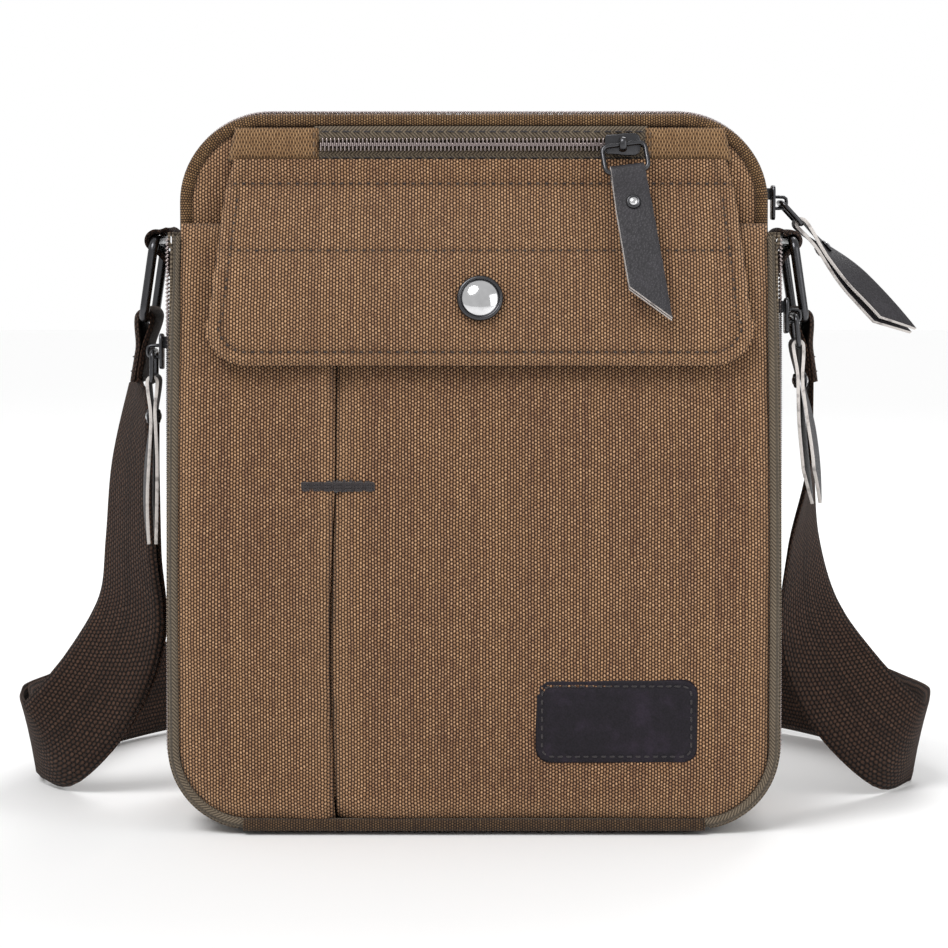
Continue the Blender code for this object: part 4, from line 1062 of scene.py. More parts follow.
def side_zips():
    for hand in ("left", "right"):
        sign = -1 if hand == "left" else 1
        path = mirrored(side_outline(0.2 * MM), hand)
        rest_z = JOINTS[hand + "_pull_hinge"]["pos_m"][2]

        def out(p, sign=sign):
            corner = Vector((sign * (BAND_HALF - BOTTOM_RADIUS), 0, BOTTOM_RADIUS))
            if p.z > BOTTOM_RADIUS:
                return Vector((sign, 0, 0))
            if abs(p.x) < abs(corner.x):
                return Vector((0, 0, -1))
            return Vector((p.x - corner.x, 0, p.z - corner.z)).normalized()

        for half, side, body in (("front", -1, "pouch"), ("rear", 1, "bag")):
            def profile(x, z, s, side=side, rest_z=rest_z):
                zip_y = side_zip_y(z)
                split = 1.6 * MM * min(1.0, max(0.0, (z - rest_z - 4 * MM) / (14 * MM)))
                near = zip_y + side * (0.7 * MM + split)
                far = pouch_front(z) + 2.4 * MM if side < 0 else FRONT - 0.2 * MM
                cross = [(0.05 * MM, near + (far - near) * k / 6) for k in range(7)]
                tuck = [(0.4, 0.5), (1.4, 1.2), (2.8, 1.8), (4.3, 2.0)] if side > 0 else []
                return cross + [(inset * MM, FRONT + back * MM) for inset, back in tuck]

            tape, _ = band(f"{hand}_zip_tape_{half}", path, profile, [TAPE])
            face_out(tape, lambda c: out(c))
            thicken(tape, 0.9 * MM)
            line, shut = [], []
            for x, z, nx, nz in path:
                split = 1.6 * MM * min(1.0, max(0.0, (z - rest_z - 4 * MM) / (14 * MM)))
                line.append((x + nx * 1.0 * MM, side_zip_y(z) + side * split, z + nz * 1.0 * MM))
            line = [p for p in line if p[2] > 0.9 * MM or True]
            teeth = chain(
                f"{hand}_zip_teeth_{half}", line, (0, -side, 0), out, shift=0.25 * side, height=1.0 * MM)
            place_on(tape, body, f"{hand}_zip_half_{half}", slot="zip_tape")
            place_on(teeth, body, slot="zip_tape")


def binding():
    """The rolled edge round the pouch, covered by the base strip between the side zips."""
    room = 1.75 * MM
    half = POUCH_HALF + room
    high = box("pouch_binding")[1].z
    path = outline_points(half, POUCH_LOW.z - room, TOP, POUCH_RADIUS + room, 0.5 * MM, 2.5 * MM)
    path = stretch(path, lambda x, z: z < high)
    points = [(x, pouch_front(z) + 2.2 * MM, z) for x, z, _, _ in path]
    radii = [1.65 * MM - 0.5 * MM * min(max((p[2] - 172 * MM) / (12 * MM), 0), 1) for p in points]
    made = cord("pouch_edge_binding", points, 1.65 * MM, [TAPE], closed=False, sides=12, radii=radii)
    place_on(made, "pouch", "pouch_binding", slot="zip_tape")


def bottom_strip():
    low, high = box("pouch_bottom_strip")
    across = [(high.y / MM, 1.5), (-14, 1.3), (-20, 1.1), (-26, 1.0), (-31, 0.9), (-35, 0.8), (-38.2, 0.7),
              (-39.9, 1.0), (-40.7, 1.9), (-40.9, 3.0), (-40.6, 4.1), (-39.9, 4.8), (-39.0, 5.0)]
    across = [(y * MM, z * MM) for y, z in across]
    xs = np.linspace(low.x, high.x, 60)
    length = lengths(across)
    rows = [[(x, y - rumple(x, 0, 0, 22 * MM, 0.25 * MM, 11), z) for y, z in across] for x in xs]
    made = grid("pouch_base_strip", rows, [BASE_CLOTH], [[(x, s) for s in length] for x in xs])
    face_out(made, Vector((0, -0.4, -1)))
    thicken(made, CANVAS * 0.5)
    apply_modifiers(made)
    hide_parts("pouch_bottom_strip")
    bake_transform(made)


def bartack():
    low, high = box("pleat_bartack")
    z0 = (low.z + high.z) / 2
    y0 = pouch_front(z0) + 0.2 * MM
    count = 34
    lines = []
    for k in range(count):
        x = low.x + (high.x - low.x) * k / (count - 1)
        lean = 0.5 * MM * math.sin(k * 2.4)
        reach = (high.z - low.z) / 2 + 0.35 * MM * math.sin(k * 1.7)
        row = [(x - lean * 0.4, y0, z0 - reach), (x + lean * 0.4, y0 - 0.15 * MM, z0 + reach)]
        lines.append(stitches(f"tack_{k}", row, (0, -1, 0), DARK_THREAD, length=2 * reach, space=0.05 * MM, radius=0.55 * MM))
    for dz in (-1.1, 0, 1.1):
        row = [(low.x - 0.5 * MM, y0 - 0.5 * MM, z0 + dz * MM), (high.x + 0.5 * MM, y0 - 0.5 * MM, z0 + dz * MM)]
        lines.append(stitches(f"tack_over_{dz}", row, (0, -1, 0), DARK_THREAD, length=3.2 * MM, space=0.2 * MM, radius=0.5 * MM))
    place_on(join("bar_tack", lines), "pouch", "pleat_bartack", slot="thread")


def patch():
    low, high = box("leather_patch")
    cx = (low.x + high.x) / 2
    loop = outline_points((high.x - low.x) / 2, low.z, high.z, 5 * MM, 5 * MM, 1.2 * MM)[:, :2] + np.array([cx, 0])

    def depth(x, z, e):
        groove = 0.45 * MM * math.exp(-((e - 2.2 * MM) / (0.7 * MM)) ** 2)
        groove += 0.4 * MM * math.exp(-((e - 6.5 * MM) / (0.6 * MM)) ** 2)
        crumple = rumple(x, 0, z, 9 * MM, 0.22 * MM, 21)
        return low.y + 0.35 * MM + soften(e, 1.2 * MM, 0.5 * MM) + groove - 0.5 * MM * min(e / (9 * MM), 1) - crumple

    made = panel("leather_patch_face", loop, depth, [PATCH, RAW], 1.1 * MM)
    place_on(thicken(made, 1.3 * MM, rim_slot=1), "pouch", "leather_patch", slot="leather")
    inner = outline_points((high.x - low.x) / 2 - 2.2 * MM, low.z + 2.2 * MM, high.z - 2.2 * MM, 3 * MM, 3 * MM, MM)
    line = [(x + cx, low.y + 0.55 * MM, z) for x, z, _, _ in inner]
    row = stitches("patch_stitches", line + line[:1], (0, -1, 0), DARK_THREAD, 2.1 * MM, 0.8 * MM, 0.28 * MM)
    place_on(row, "pouch", slot="thread")


# ---------------------------------------------------------------- flap and snap

FLAP_X = (FLAP_LOW.x + FLAP_HIGH.x) / 2
SNAP_Z = (box("snap_stud_back")[0].z + box("snap_stud_back")[1].z) / 2 + 0.8 * MM
FLAP_TOP_Z = FRONT_ZIP_Z - 4.9 * MM


def flap_half(z):
    """Half the flap's width at height z."""
    share = (FLAP_HIGH.z - z) / (FLAP_HIGH.z - FLAP_LOW.z)
    return 86.0 * MM + 5.6 * MM * share if share > 0 else 86.0 * MM + 18 * MM * share * 0.95


def flap_loop(inset=0.0, step=2.2 * MM, top=None):
    top = FLAP_TOP_Z if top is None else top
    r = 14 * MM - inset
    low = FLAP_LOW.z + inset
    half = FLAP_HIGH.x - FLAP_X - inset
    points = []
    for k in range(13):
        a = math.radians(-90 + 90 * k / 12)
        points.append((half - r + r * math.cos(a), low + r + r * math.sin(a)))
    side = [(flap_half(z) - inset, z) for z in np.arange(low + r + step, top - 0.3 * step, step)]
    points += side + [(flap_half(top) - inset, top)]
    left = [(-x, z) for x, z in reversed(points)]
    loop = points + left
    closed = []
    for a, b in zip(loop, loop[1:] + loop[:1]):
        count = max(1, round(math.dist(a, b) / step))
        closed += [(a[0] + (b[0] - a[0]) * k / count, a[1] + (b[1] - a[1]) * k / count) for k in range(count)]
    return [(x + FLAP_X, z) for x, z in closed]


def flap_looseness(z):
    """0 at the hinge, where the flap is held flat, to 1 where it hangs free."""
    return min(max((FLAP_HIGH.z - z) / (30 * MM), 0), 1)


def flap_depth(x, z, e):
    y = flap_front(z)
    hem = hem_distance(x, z)
    y += soften(max(hem, 0), 2.6 * MM, 1.6 * MM)
    y += 0.95 * MM * math.exp(-((hem - 4.6 * MM) / (1.0 * MM)) ** 2) if z < FLAP_HIGH.z else 0
    y += 0.8 * MM * math.exp(-((z - 216.0 * MM) / (0.9 * MM)) ** 2)
    y += 0.7 * MM * math.exp(-((z - 194 * MM) / (1.0 * MM)) ** 2)
    away_snap = math.hypot(x - FLAP_X, z - SNAP_Z - 3 * MM)
    y += 0.9 * MM * math.exp(-(away_snap / (11 * MM)) ** 2)
    y -= (rumple(x, 0, z, 36 * MM, 1.2 * MM, 12) + rumple(x, 0, z, 13 * MM, 0.3 * MM, 13)) * flap_looseness(z)
    pucker = math.sin(x / (1.1 * MM)) * 0.14 * MM
    return y + pucker * math.exp(-(min(abs(z - 215.5 * MM), abs(z - 160.3 * MM)) / (2 * MM)) ** 2)


def hem_distance(x, z):
    """How far a place on the flap is from its cut edge."""
    side, low, r = flap_half(z) - abs(x - FLAP_X), z - FLAP_LOW.z, 14 * MM
    if side < r and low < r:
        return r - math.hypot(r - side, r - low)
    return min(side, low)


def seam_distance(x, z):
    """How far a place on the flap is from its nearest row of stitches."""
    hem = hem_distance(x, z)
    return min(abs(hem - 4.6 * MM), abs(z - 216.0 * MM), abs(z - 194 * MM))


def sunk_row(name, row):
    """A row of stitches pulled down into the flap, coloured dark as painted shadow of their stitch holes."""
    line = [(x, flap_depth(x, z, 9), z) for x, z in row]
    return stitches(name, line, (0, -1, 0.15), STITCH_HOLE_SHADOW, 1.5 * MM, 1.5 * MM, 0.3 * MM)


def flap():
    outer = panel("flap_cloth", flap_loop(), flap_depth, [CLOTH], 1.3 * MM)
    # Nearness to the stitch rows, which drives the painted shade in their grooves.
    near = [20 * MM - min(seam_distance(v.co.x, v.co.z), 20 * MM) for v in outer.data.vertices]
    point_values(outer, "seam", near)
    # Real wear along the hem, plus painted light: a 0.35 lift over the whole flap for the light it catches from above.
    point_values(outer, "wear_and_painted_light", [0.35 + 0.65 * math.exp(-((hem_distance(v.co.x, v.co.z) / (3 * MM)) ** 2)) for v in outer.data.vertices])
    thicken(outer, 1.5 * MM, bevel=0.3 * MM)
    apply_modifiers(outer)
    bend_flap(outer, "flap_canvas")

    def lining_depth(x, z, e):
        return flap_front(z) + 2.9 * MM - rumple(x, 0, z, 36 * MM, 1.2 * MM, 12) * flap_looseness(z)

    inner = panel("flap_lining_cloth", flap_loop(2.8 * MM, 3 * MM, FLAP_HIGH.z), lining_depth, [LINING], 4 * MM)
    thicken(inner, 0.6 * MM)
    place_on(inner, "flap", "flap_lining", slot="lining")
    rows = []
    hem = flap_loop(4.6 * MM, 1.5 * MM, 213 * MM)
    start = next(i for i in range(len(hem)) if hem[i][1] > 212.9 * MM and hem[i - 1][1] < 212.9 * MM)
    hem = [p for p in hem if p[1] < 212.5 * MM]
    right = sorted([p for p in hem if p[0] >= FLAP_X], key=lambda p: (p[1] > 165 * MM, p[1] if p[1] > 165 * MM else p[0]))
    first = [p for p in right if p[1] <= 165 * MM]
    line = [(x, z) for x, z in right]
    full = [(2 * FLAP_X - x, z) for x, z in reversed(line)] + line
    rows.append(full)
    rows.append([(FLAP_X - 82 * MM + k * 2 * MM, 194 * MM) for k in range(83)])
    pieces = [sunk_row(f"flap_row_{i}", row) for i, row in enumerate(rows)]
    place_on(join("flap_stitches", pieces), "flap", slot="thread")
    top_row = [(FLAP_X - 84 * MM + k * 2 * MM, 216.4 * MM) for k in range(85)]
    top = sunk_row("flap_top_stitches", top_row)
    place_on(top, "bag", slot="thread")


def apply_modifiers(obj):
    graph = bpy.context.evaluated_depsgraph_get()
    final = bpy.data.meshes.new_from_object(obj.evaluated_get(graph))
    obj.modifiers.clear()
    obj.data = final
    return obj


def bend_flap(obj, node):
    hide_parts(node)
    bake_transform(obj)


def turned(name, profile, matrix, material, steps=40):
    """A piece of revolution about local Z from (radius, height) pairs in millimetres."""
    rows = []
    for k in range(steps):
        a = 2 * math.pi * k / steps
        rows.append([matrix @ Vector((r * MM * math.cos(a), r * MM * math.sin(a), h * MM)) for r, h in profile])
    made = grid(name, rows, [material], [[(0, 0)] * len(profile)] * steps, closed_rows=True)
    body = bmesh.new()
    body.from_mesh(made.data)
    bmesh.ops.remove_doubles(body, verts=body.verts, dist=1e-6)
    bmesh.ops.recalc_face_normals(body, faces=body.faces)
    body.to_mesh(made.data)
    body.free()
    return made


def snap():
    tilt = math.radians(17)
    place = Matrix.Translation((FLAP_X, pouch_front(SNAP_Z), SNAP_Z)) @ Matrix.Rotation(math.pi / 2 - tilt, 4, "X")
    dome = [(0, 12.5), (1.5, 12.45), (3, 12.2), (4.4, 11.75), (5.5, 11.2), (6.1, 10.75), (6.35, 10.45), (6.4, 9.9), (0, 9.9)]
    rim = [(6.3, 10.2), (6.5, 10.9), (6.9, 11.1), (7.4, 10.9), (7.75, 10.3), (7.75, 9.5), (7.5, 9.0), (0, 9.0), (0, 9.6), (6.3, 9.6), (6.3, 10.2)]
    post = [(0, 9.2), (1.6, 9.2), (1.6, 5.6), (0, 5.6)]
    socket = [(2.9, 5.0), (5.3, 5.0), (5.6, 4.7), (5.6, 2.8), (5.0, 2.2), (3.1, 2.2), (2.9, 2.4), (2.9, 5.0)]
    stud = [(0, 4.0), (1.6, 3.95), (2.1, 3.7), (2.3, 3.3), (1.8, 2.6), (1.8, 1.3), (4.7, 1.1), (5.0, 0.8), (5.0, 0.5), (0, 0.5)]
    back = [(0, 0.2), (1.4, 0.2), (1.4, -2.3), (4.8, -2.3), (5.0, -2.6), (4.8, -3.0), (0, -3.0)]
    place_on(turned("snap_dome", dome, place, CHROME, 56), "flap", "snap_cap", slot="chrome")
    place_on(turned("snap_rim", rim, place, GUNMETAL, 56), "flap", slot="gunmetal")
    place_on(turned("snap_post", post, place, GUNMETAL), "flap", slot="gunmetal")
    place_on(turned("snap_socket_ring", socket, place, GUNMETAL), "flap", "snap_socket", slot="gunmetal")
    place_on(turned("snap_stud_turned", stud, place, GUNMETAL), "pouch", "snap_stud", slot="gunmetal")
    place_on(turned("snap_stud_plate", back, place, GUNMETAL), "pouch", "snap_stud_back", slot="gunmetal")


# ---------------------------------------------------------------- sliders and pulls

def pull_frame(name):
    """Local X along the hinge line, local Z up the pull, local -Y away from the bag."""
    top = Vector(JOINTS[name + "_pull_hinge"]["pos_m"])
    low = Vector(JOINTS[name + "_leather_hinge"]["pos_m"])
    x = -Vector(JOINTS[name + "_pull_hinge"]["axis"]).normalized()
    z = (top - low).normalized()
    turn = Matrix((x, z.cross(x), z)).transposed().to_4x4()
    return Matrix.Translation(top) @ turn, Matrix.Translation(low) @ turn, (top - low).length


def slab(name, loop, low, high, matrix, material, bevel=0.25 * MM):
    """A 2-D loop of local (x, z) millimetres, thick in local Y from low to high."""
    count = len(loop)
    verts = [matrix @ Vector((x * MM, y * MM, z * MM)) for y in (low, high) for x, z in loop]
    faces = [tuple(range(count)), tuple(range(2 * count - 1, count - 1, -1))]
    faces += [(k, k + count, (k + 1) % count + count, (k + 1) % count) for k in range(count)]
    made = make_object(name, verts, faces, [material], [(0, 0)] * len(verts))
    body = bmesh.new()
    body.from_mesh(made.data)
    bmesh.ops.recalc_face_normals(body, faces=body.faces)
    body.to_mesh(made.data)
    body.free()
    soft = made.modifiers.new("soft_edges", "BEVEL")
    soft.width = bevel
    soft.segments = 3
    soft.limit_method = "ANGLE"
    soft.angle_limit = math.radians(35)
    apply_modifiers(made)
    return made


def rounded(half_x, low, high, radius):
    return [(x / MM, z / MM) for x, z, _, _ in outline_points(
        half_x * MM, low * MM, high * MM, radius * MM, radius * MM, 0.6 * MM)]


def slider(name, matrix, gap, width, lengthways):
    """Two shaped plates, a divider between them and a raised bridge for the pull's ring."""
    half = width / 2
    shape = [(-half * 0.62, -6), (half * 0.62, -6), (half * 0.86, -5.4), (half * 0.92, -1.5), (half, 0.5), (half, 4.2),
             (half * 0.8, 5.6), (half * 0.35, 6), (-half * 0.35, 6), (-half * 0.8, 5.6), (-half, 4.2), (-half, 0.5),
             (-half * 0.92, -1.5), (-half * 0.86, -5.4)]
    if lengthways == "X":
        shape = [(z, -x) for x, z in shape]
    rear = 3.2 + gap
    parts = [
        slab(name + "_top", shape, 2.0, 3.2, matrix, GUNMETAL, 0.4 * MM),
        slab(name + "_base", shape, rear, rear + 1.2, matrix, GUNMETAL, 0.3 * MM),
    ]
    nose = [(-0.5, 1), (0.5, 1), (0.5, 5), (-0.5, 5)]
    if lengthways == "X":
        nose = [(z, -x) for x, z in nose]
    parts.append(slab(name + "_nose", nose, 3.0, rear + 0.2, matrix, GUNMETAL, 0.1 * MM))
    arch = [(2.5, 2.3), (0.6, 2.3), (-1.2, 2.15), (-1.95, 1.5), (-2.1, 0.4)]
    arch += [(y, -z) for y, z in reversed(arch)]
    rows = []
    for y, z in arch:
        length = math.hypot(min(y, 0.6) + 0.0, z)
        inner_y, inner_z = (y + 1.0 if y < 0.6 else y), z * 0.56
        ring = []
        for k in range(10):
            a = 2 * math.pi * k / 10
            ring.append((math.cos(a) * 1.35, (y + inner_y) / 2 + math.sin(a) * (y - inner_y) / 2 - (0.0), z))
        rows.append(ring)
    path = [matrix @ Vector((0, y * MM, z * 0.86 * MM)) for y, z in arch]
    bridge = cord(name + "_bridge", path, 0.62 * MM, [GUNMETAL], closed=False, sides=12)
    wide = [matrix.inverted() @ v.co for v in bridge.data.vertices]
    for vertex, p in zip(bridge.data.vertices, wide):
        vertex.co = matrix @ Vector((p.x * 2.0, p.y, p.z))
    parts.append(bridge)
    return join(name, parts)


def leather_pull(name, matrix, spread, twist):
    """A strip folded over the ring's lower bar, its tip cut on a slant."""
    radius, thick, length, slant = 1.1, 1.2, 55.0, 14.0
    steps, across = 44, 9
    rows, uv = [], []
    arc_length = math.pi * (radius + thick)
    for side in (1, -1):
        order = range(steps, -1, -1) if side == 1 else range(steps + 1)
        for k in order:
            row, row_uv = [], []
            for c in range(across):
                t = c / (across - 1)
                cut = length - slant * (1 - t) * 0.92
                s = cut * k / steps
                near = min(s / 11.0, 1.0)
                fold = radius + thick - (radius - 0.15) * (near * near * (3 - 2 * near))
                if s < 0.01:
                    fold = radius + thick
                below = max(s - 14, 0) / (length - 14)
                bow = spread * math.sin(math.pi * 0.8 * below) if side == -1 else 0.25 * spread * math.sin(math.pi * below)
                width = 11.4 + 0.9 * min(s / 14, 1.0)
                x = (t - 0.5) * width
                y = side * fold + (-bow if side == -1 else bow * 0.3)
                turn = math.radians(twist) * min(s / 30, 1.0) ** 2 * (3 - 2 * min(s / 30, 1.0))
                x, y = x * math.cos(turn) - y * math.sin(turn), x * math.sin(turn) + y * math.cos(turn)
                row.append(matrix @ Vector((x * MM, y * MM, -s * MM)))
                row_uv.append((x * MM, s * MM))
            rows.append(row)
            uv.append(row_uv)
        if side == 1:
            for k in range(1, 8):
                a = math.pi * k / 8
                row = []
                for c in range(across):
                    x = (c / (across - 1) - 0.5) * 11.4
                    r = radius + thick
                    row.append(matrix @ Vector((x * MM, r * math.cos(a) * MM, r * math.sin(a) * MM)))
                rows.append(row)
                uv.append([(0, a * r * MM)] * across)
    made = grid(name, rows, [LEATHER, RAW], uv)
    middle = matrix @ Vector((0, 0, -20 * MM))
    outside = matrix.to_3x3() @ Vector((0, 1, 0))

    def outward(c):
        local = matrix.inverted() @ c
        if local.z > 0:
            return matrix.to_3x3() @ Vector((0, local.y, local.z))
        return outside * (1 if local.y > 0 else -1)

    face_out(made, outward)
    thicken(made, thick * MM, rim_slot=1, bevel=0.14 * MM)
    return apply_modifiers(made)


def rivet(name, matrix):
    head = [(0, 2.75), (0.7, 2.7), (1.2, 2.5), (1.5, 2.2), (1.55, 1.9), (0, 1.9)]
    ring = [(1.5, 2.1), (1.75, 2.3), (2.15, 2.2), (2.45, 1.85), (2.45, 1.5), (1.2, 1.45), (1.2, 2.1), (1.5, 2.1)]
    at = matrix @ Matrix.Translation((0, 0, -12 * MM)) @ Matrix.Rotation(math.pi / 2, 4, "X")
    parts = []
    for side in (1, -1):
        turn = at @ (Matrix.Identity(4) if side == 1 else Matrix.Rotation(math.pi, 4, "X"))
        parts.append(turned(f"{name}_head_{side}", head, turn, CHROME, 28))
        parts.append(turned(f"{name}_rim_{side}", ring, turn, GUNMETAL, 28))
    return join(name, parts)


def zip_hardware():
    for name, spread, twist in (("front", 0.5, 0), ("left", 1.6, 10), ("right", 2.0, -14), ("main", 1.6, -38)):
        top, low, drop = pull_frame(name)
        loop = outline_points(7.3 * MM, -drop, 0, 2.2 * MM, 2.2 * MM, 0.8 * MM)
        wire = [top @ Vector((x, 0, z)) for x, z, _, _ in loop]
        ring = cord(name + "_ring_wire", wire, 0.85 * MM, [GUNMETAL], sides=12)
        place_on(ring, name + "_pull_ring", name + "_pull_ring", slot="gunmetal")
        strip = leather_pull(name + "_pull_strip", low, spread, twist)
        place_on(strip, name + "_pull", name + "_pull_leather", slot="leather")
        place_on(rivet(name + "_rivet", low), name + "_pull", name + "_pull_rivet", slot="chrome")
        sides = {"front": 0, "right": 90, "left": -90, "main": 90}
        lean = math.atan2(-JOINTS["left_zip_slide"]["axis"][1], -JOINTS["left_zip_slide"]["axis"][2])
        place = Matrix.Translation(top.translation)
        if name in ("left", "right"):
            place = place @ Matrix.Rotation(-lean, 4, "X")
        place = place @ Matrix.Rotation(math.radians(sides[name]), 4, "Z")
        gap = {"front": 3.35, "main": 5.0}.get(name, 3.8)
        width = 7.6 if name == "front" else 9.0
        made = slider(name + "_slider_body", place, gap, width, "X" if name == "front" else "Z")
        place_on(made, name + "_slider", name + "_slider", slot="gunmetal")


# ---------------------------------------------------------------- strap

def catmull(values, index, share):
    count = len(values) - 1
    p0, p1, p2, p3 = (values[min(max(index + k, 0), count)] for k in (-1, 0, 1, 2))
    a = 2 * p1 + (p2 - p0) * share
    b = (2 * p0 - 5 * p1 + 4 * p2 - p3) * share ** 2
    return 0.5 * (a + b + (3 * p1 - p0 - 3 * p2 + p3) * share ** 3)


RIGHT_DROP = [
    ((116.5, 17, 145.5), (0.05, 1, 0)), ((117, 17, 118), (0.15, 1, 0)), ((115, 18, 90), (0.4, 0.9, 0.05)),
    ((118, 20, 62), (0.65, 0.65, 0.38)), ((131, 22, 38), (0.62, 0.25, 0.74)), ((151, 29, 18), (0.5, 0, 0.86)),
    ((161, 49, 18), (0.2, 0, 0.98)), ((159, 75, 18), (0, 0, 1)), ((151, 105, 18), (0, 0, 1)),
    ((137, 138, 18.2), (0, 0, 1)), ((112, 165, 19.5), (0, 0, 1)),
]
LEFT_DROP = [
    ((-116.5, 17, 145.5), (-0.3, 0.95, 0)), ((-120, 18, 118), (-0.5, 0.86, 0)), ((-121, 19, 90), (-0.6, 0.8, 0.05)),
    ((-122, 22, 64), (-0.7, 0.6, 0.38)), ((-133, 26, 39), (-0.62, 0.25, 0.74)), ((-151, 33, 18), (-0.5, 0, 0.86)),
    ((-161, 52, 18), (-0.2, 0, 0.98)), ((-159, 77, 18), (0, 0, 1)), ((-151, 106, 18), (0, 0, 1)),
    ((-137, 138, 18.2), (0, 0, 1)), ((-112, 165, 19.5), (0, 0, 1)),
]
REAR_RUN_Y, REAR_RUN_Z = 176 * MM, 21.2 * MM
SECOND_LAYER = -3.4 * MM


def strap_frames(steps=8):
    """(place, across, normal) from the right ring round the back to the left ring."""
    run = [((x, REAR_RUN_Y / MM, REAR_RUN_Z / MM), (0, 0, 1)) for x in (75, 0, -75)]
    stations = RIGHT_DROP + run + LEFT_DROP[::-1]
    places = [Vector(p) * MM for p, _ in stations]
    acrosses = [Vector(a).normalized() for _, a in stations]
    straight = [abs(p.y - REAR_RUN_Y) < 1e-6 for p in places]
    frames = []
    for i in range(len(places) - 1):
        for k in range(steps):
            t = k / steps
            if straight[i] and straight[i + 1]:
                place, ahead = places[i].lerp(places[i + 1], t), places[i + 1] - places[i]
            else:
                place = catmull(places, i, t)
                ahead = catmull(places, i, min(t + 0.05, 1)) - catmull(places, i, max(t - 0.05, 0))
            ahead.normalize()
            across = catmull(acrosses, i, t)
            across = (across - ahead * across.dot(ahead)).normalized()
            frames.append((place, across, ahead.cross(across)))
    place = places[-1]
    ahead = (places[-1] - places[-2]).normalized()
    across = (acrosses[-1] - ahead * acrosses[-1].dot(ahead)).normalized()
    frames.append((place, across, ahead.cross(across)))
    return frames


RING_TILT = 8.5
RING_DROP = 27 * MM


def webbing(name, frames, offset=0.0, width=35 * MM, thick=1.8 * MM, s0=0.0):
    """A woven ribbon with rounded, slightly cupped edges, along (place, across, normal) frames."""
    half = width / 2
    profile = []
    for k in range(15):
        t = -1 + 2 * k / 14
        profile.append((t * half, thick / 2 * max(0.0, 1 - max(abs(t) - 0.9, 0) * 5) ** 0.5))
    ring = profile + [(x, -y) for x, y in reversed(profile[1:-1])]
    around = lengths(ring)
    rows, uv, s = [], [], s0
    for i, (place, across, normal) in enumerate(frames):
        if i:
            s += (place - frames[i - 1][0]).length
        flat_end = min(1.0, i / 8, (len(frames) - 1 - i) / 8)
        cup = (0.35 * MM * math.sin(s / (31 * MM)) + rumple(s, 0, 0, 40 * MM, 0.4 * MM, 14)) * flat_end
        rows.append([place + across * x + normal * (offset + y + cup * (x / half) ** 2) for x, y in ring])
        uv.append([(x, s) for x, _ in ring])
    made = grid(name, rows, [WEBBING], uv, closed_columns=True)
    body = bmesh.new()
    body.from_mesh(made.data)
    bmesh.ops.holes_fill(body, edges=body.edges, sides=60)
    bmesh.ops.recalc_face_normals(body, faces=body.faces)
    body.to_mesh(made.data)
    body.free()
    made.data.shade_smooth()
    return made


def strap():
    """Two halves that meet under the adjuster, each hanging from just below its ring's lower bar."""
    frames = strap_frames()
    adjuster_x = (box("strap_adjuster")[0].x + box("strap_adjuster")[1].x) / 2
    middle = min(range(len(frames)), key=lambda i: (frames[i][0] - Vector((adjuster_x, REAR_RUN_Y, REAR_RUN_Z))).length)
    for hand, part in (("right", frames[: middle + 1]), ("left", frames[middle:][::-1])):
        hinge = Vector(JOINTS[hand + "_ring_hinge"]["pos_m"])
        tilt = Matrix.Rotation(math.radians(RING_TILT if hand == "left" else -RING_TILT), 4, "Y")
        bar = Matrix.Translation(hinge) @ tilt @ Matrix.Translation((0, 0, -RING_DROP))
        foot = part[0][0]
        down = [bar @ Vector((0, 0, -d * MM)) for d in (11, 14, 17, 20)]
        down.append(down[-1].lerp(foot, 0.5))
        facing = part[0][1] if part[0][1].y > 0 else -part[0][1]
        path = [(place, Vector((0, 1, 0)).lerp(facing, max(0, k - 3) / 2).normalized()) for k, place in enumerate(down)]
        turn = 1
        for place, across, _ in part:
            turn = 1 if (across * turn).dot(path[-1][1]) > 0 else -turn
            path.append((place, across * turn))
        placed = []
        for i, (place, across) in enumerate(path):
            ahead = path[min(i + 1, len(path) - 1)][0] - path[max(i - 1, 0)][0]
            placed.append((place, across, ahead.normalized().cross(across)))
        made = webbing(hand + "_strap_half", placed)
        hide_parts("strap")
        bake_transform(made)
    reach = adjuster_x - 25 * MM
    back = [f for f in frames if f[0].x < reach and f[0].z < 140 * MM]
    start = (Vector((reach, REAR_RUN_Y, REAR_RUN_Z)), Vector((0, 0, 1)), back[0][2].copy())
    second = webbing("strap_second_layer", [start] + back, SECOND_LAYER)
    place_on(second, "bag", "strap_return", slot="webbing")


def folded_webbing(name, matrix, radius, thick, length, closed_at, width, s0=0.0):
    """Webbing folded over a bar at the matrix's origin, hanging down local Z, wide in local Y."""
    rows, uv = [], []
    path = []
    gap = 0.2
    for k in range(9):
        path.append((gap + thick / 2, -length + (length - closed_at) * k / 8))
    for k in range(1, 8):
        t = k / 8
        ease = t * t * (3 - 2 * t)
        path.append((gap + thick / 2 + (radius - gap) * ease, -closed_at + closed_at * t))
    for k in range(13):
        a = math.pi * k / 12
        path.append(((radius + thick / 2) * math.cos(a), (radius + thick / 2) * math.sin(a)))
    for k in range(7, 0, -1):
        t = k / 8
        ease = t * t * (3 - 2 * t)
        path.append((-(gap + thick / 2 + (radius - gap) * ease), -closed_at + closed_at * t))
    for k in range(8, -1, -1):
        path.append((-(gap + thick / 2), -length + (length - closed_at) * k / 8))
    frames = []
    for i, (x, z) in enumerate(path):
        before, after = path[max(i - 1, 0)], path[min(i + 1, len(path) - 1)]
        ahead = Vector((after[0] - before[0], 0, after[1] - before[1])).normalized()
        across = Vector((0, 1, 0))
        turn = matrix.to_3x3()
        frames.append((matrix @ Vector((x * MM, 0, z * MM)), turn @ across, turn @ ahead.cross(across)))
    return webbing(name, frames, width=width, thick=thick * MM, s0=s0)


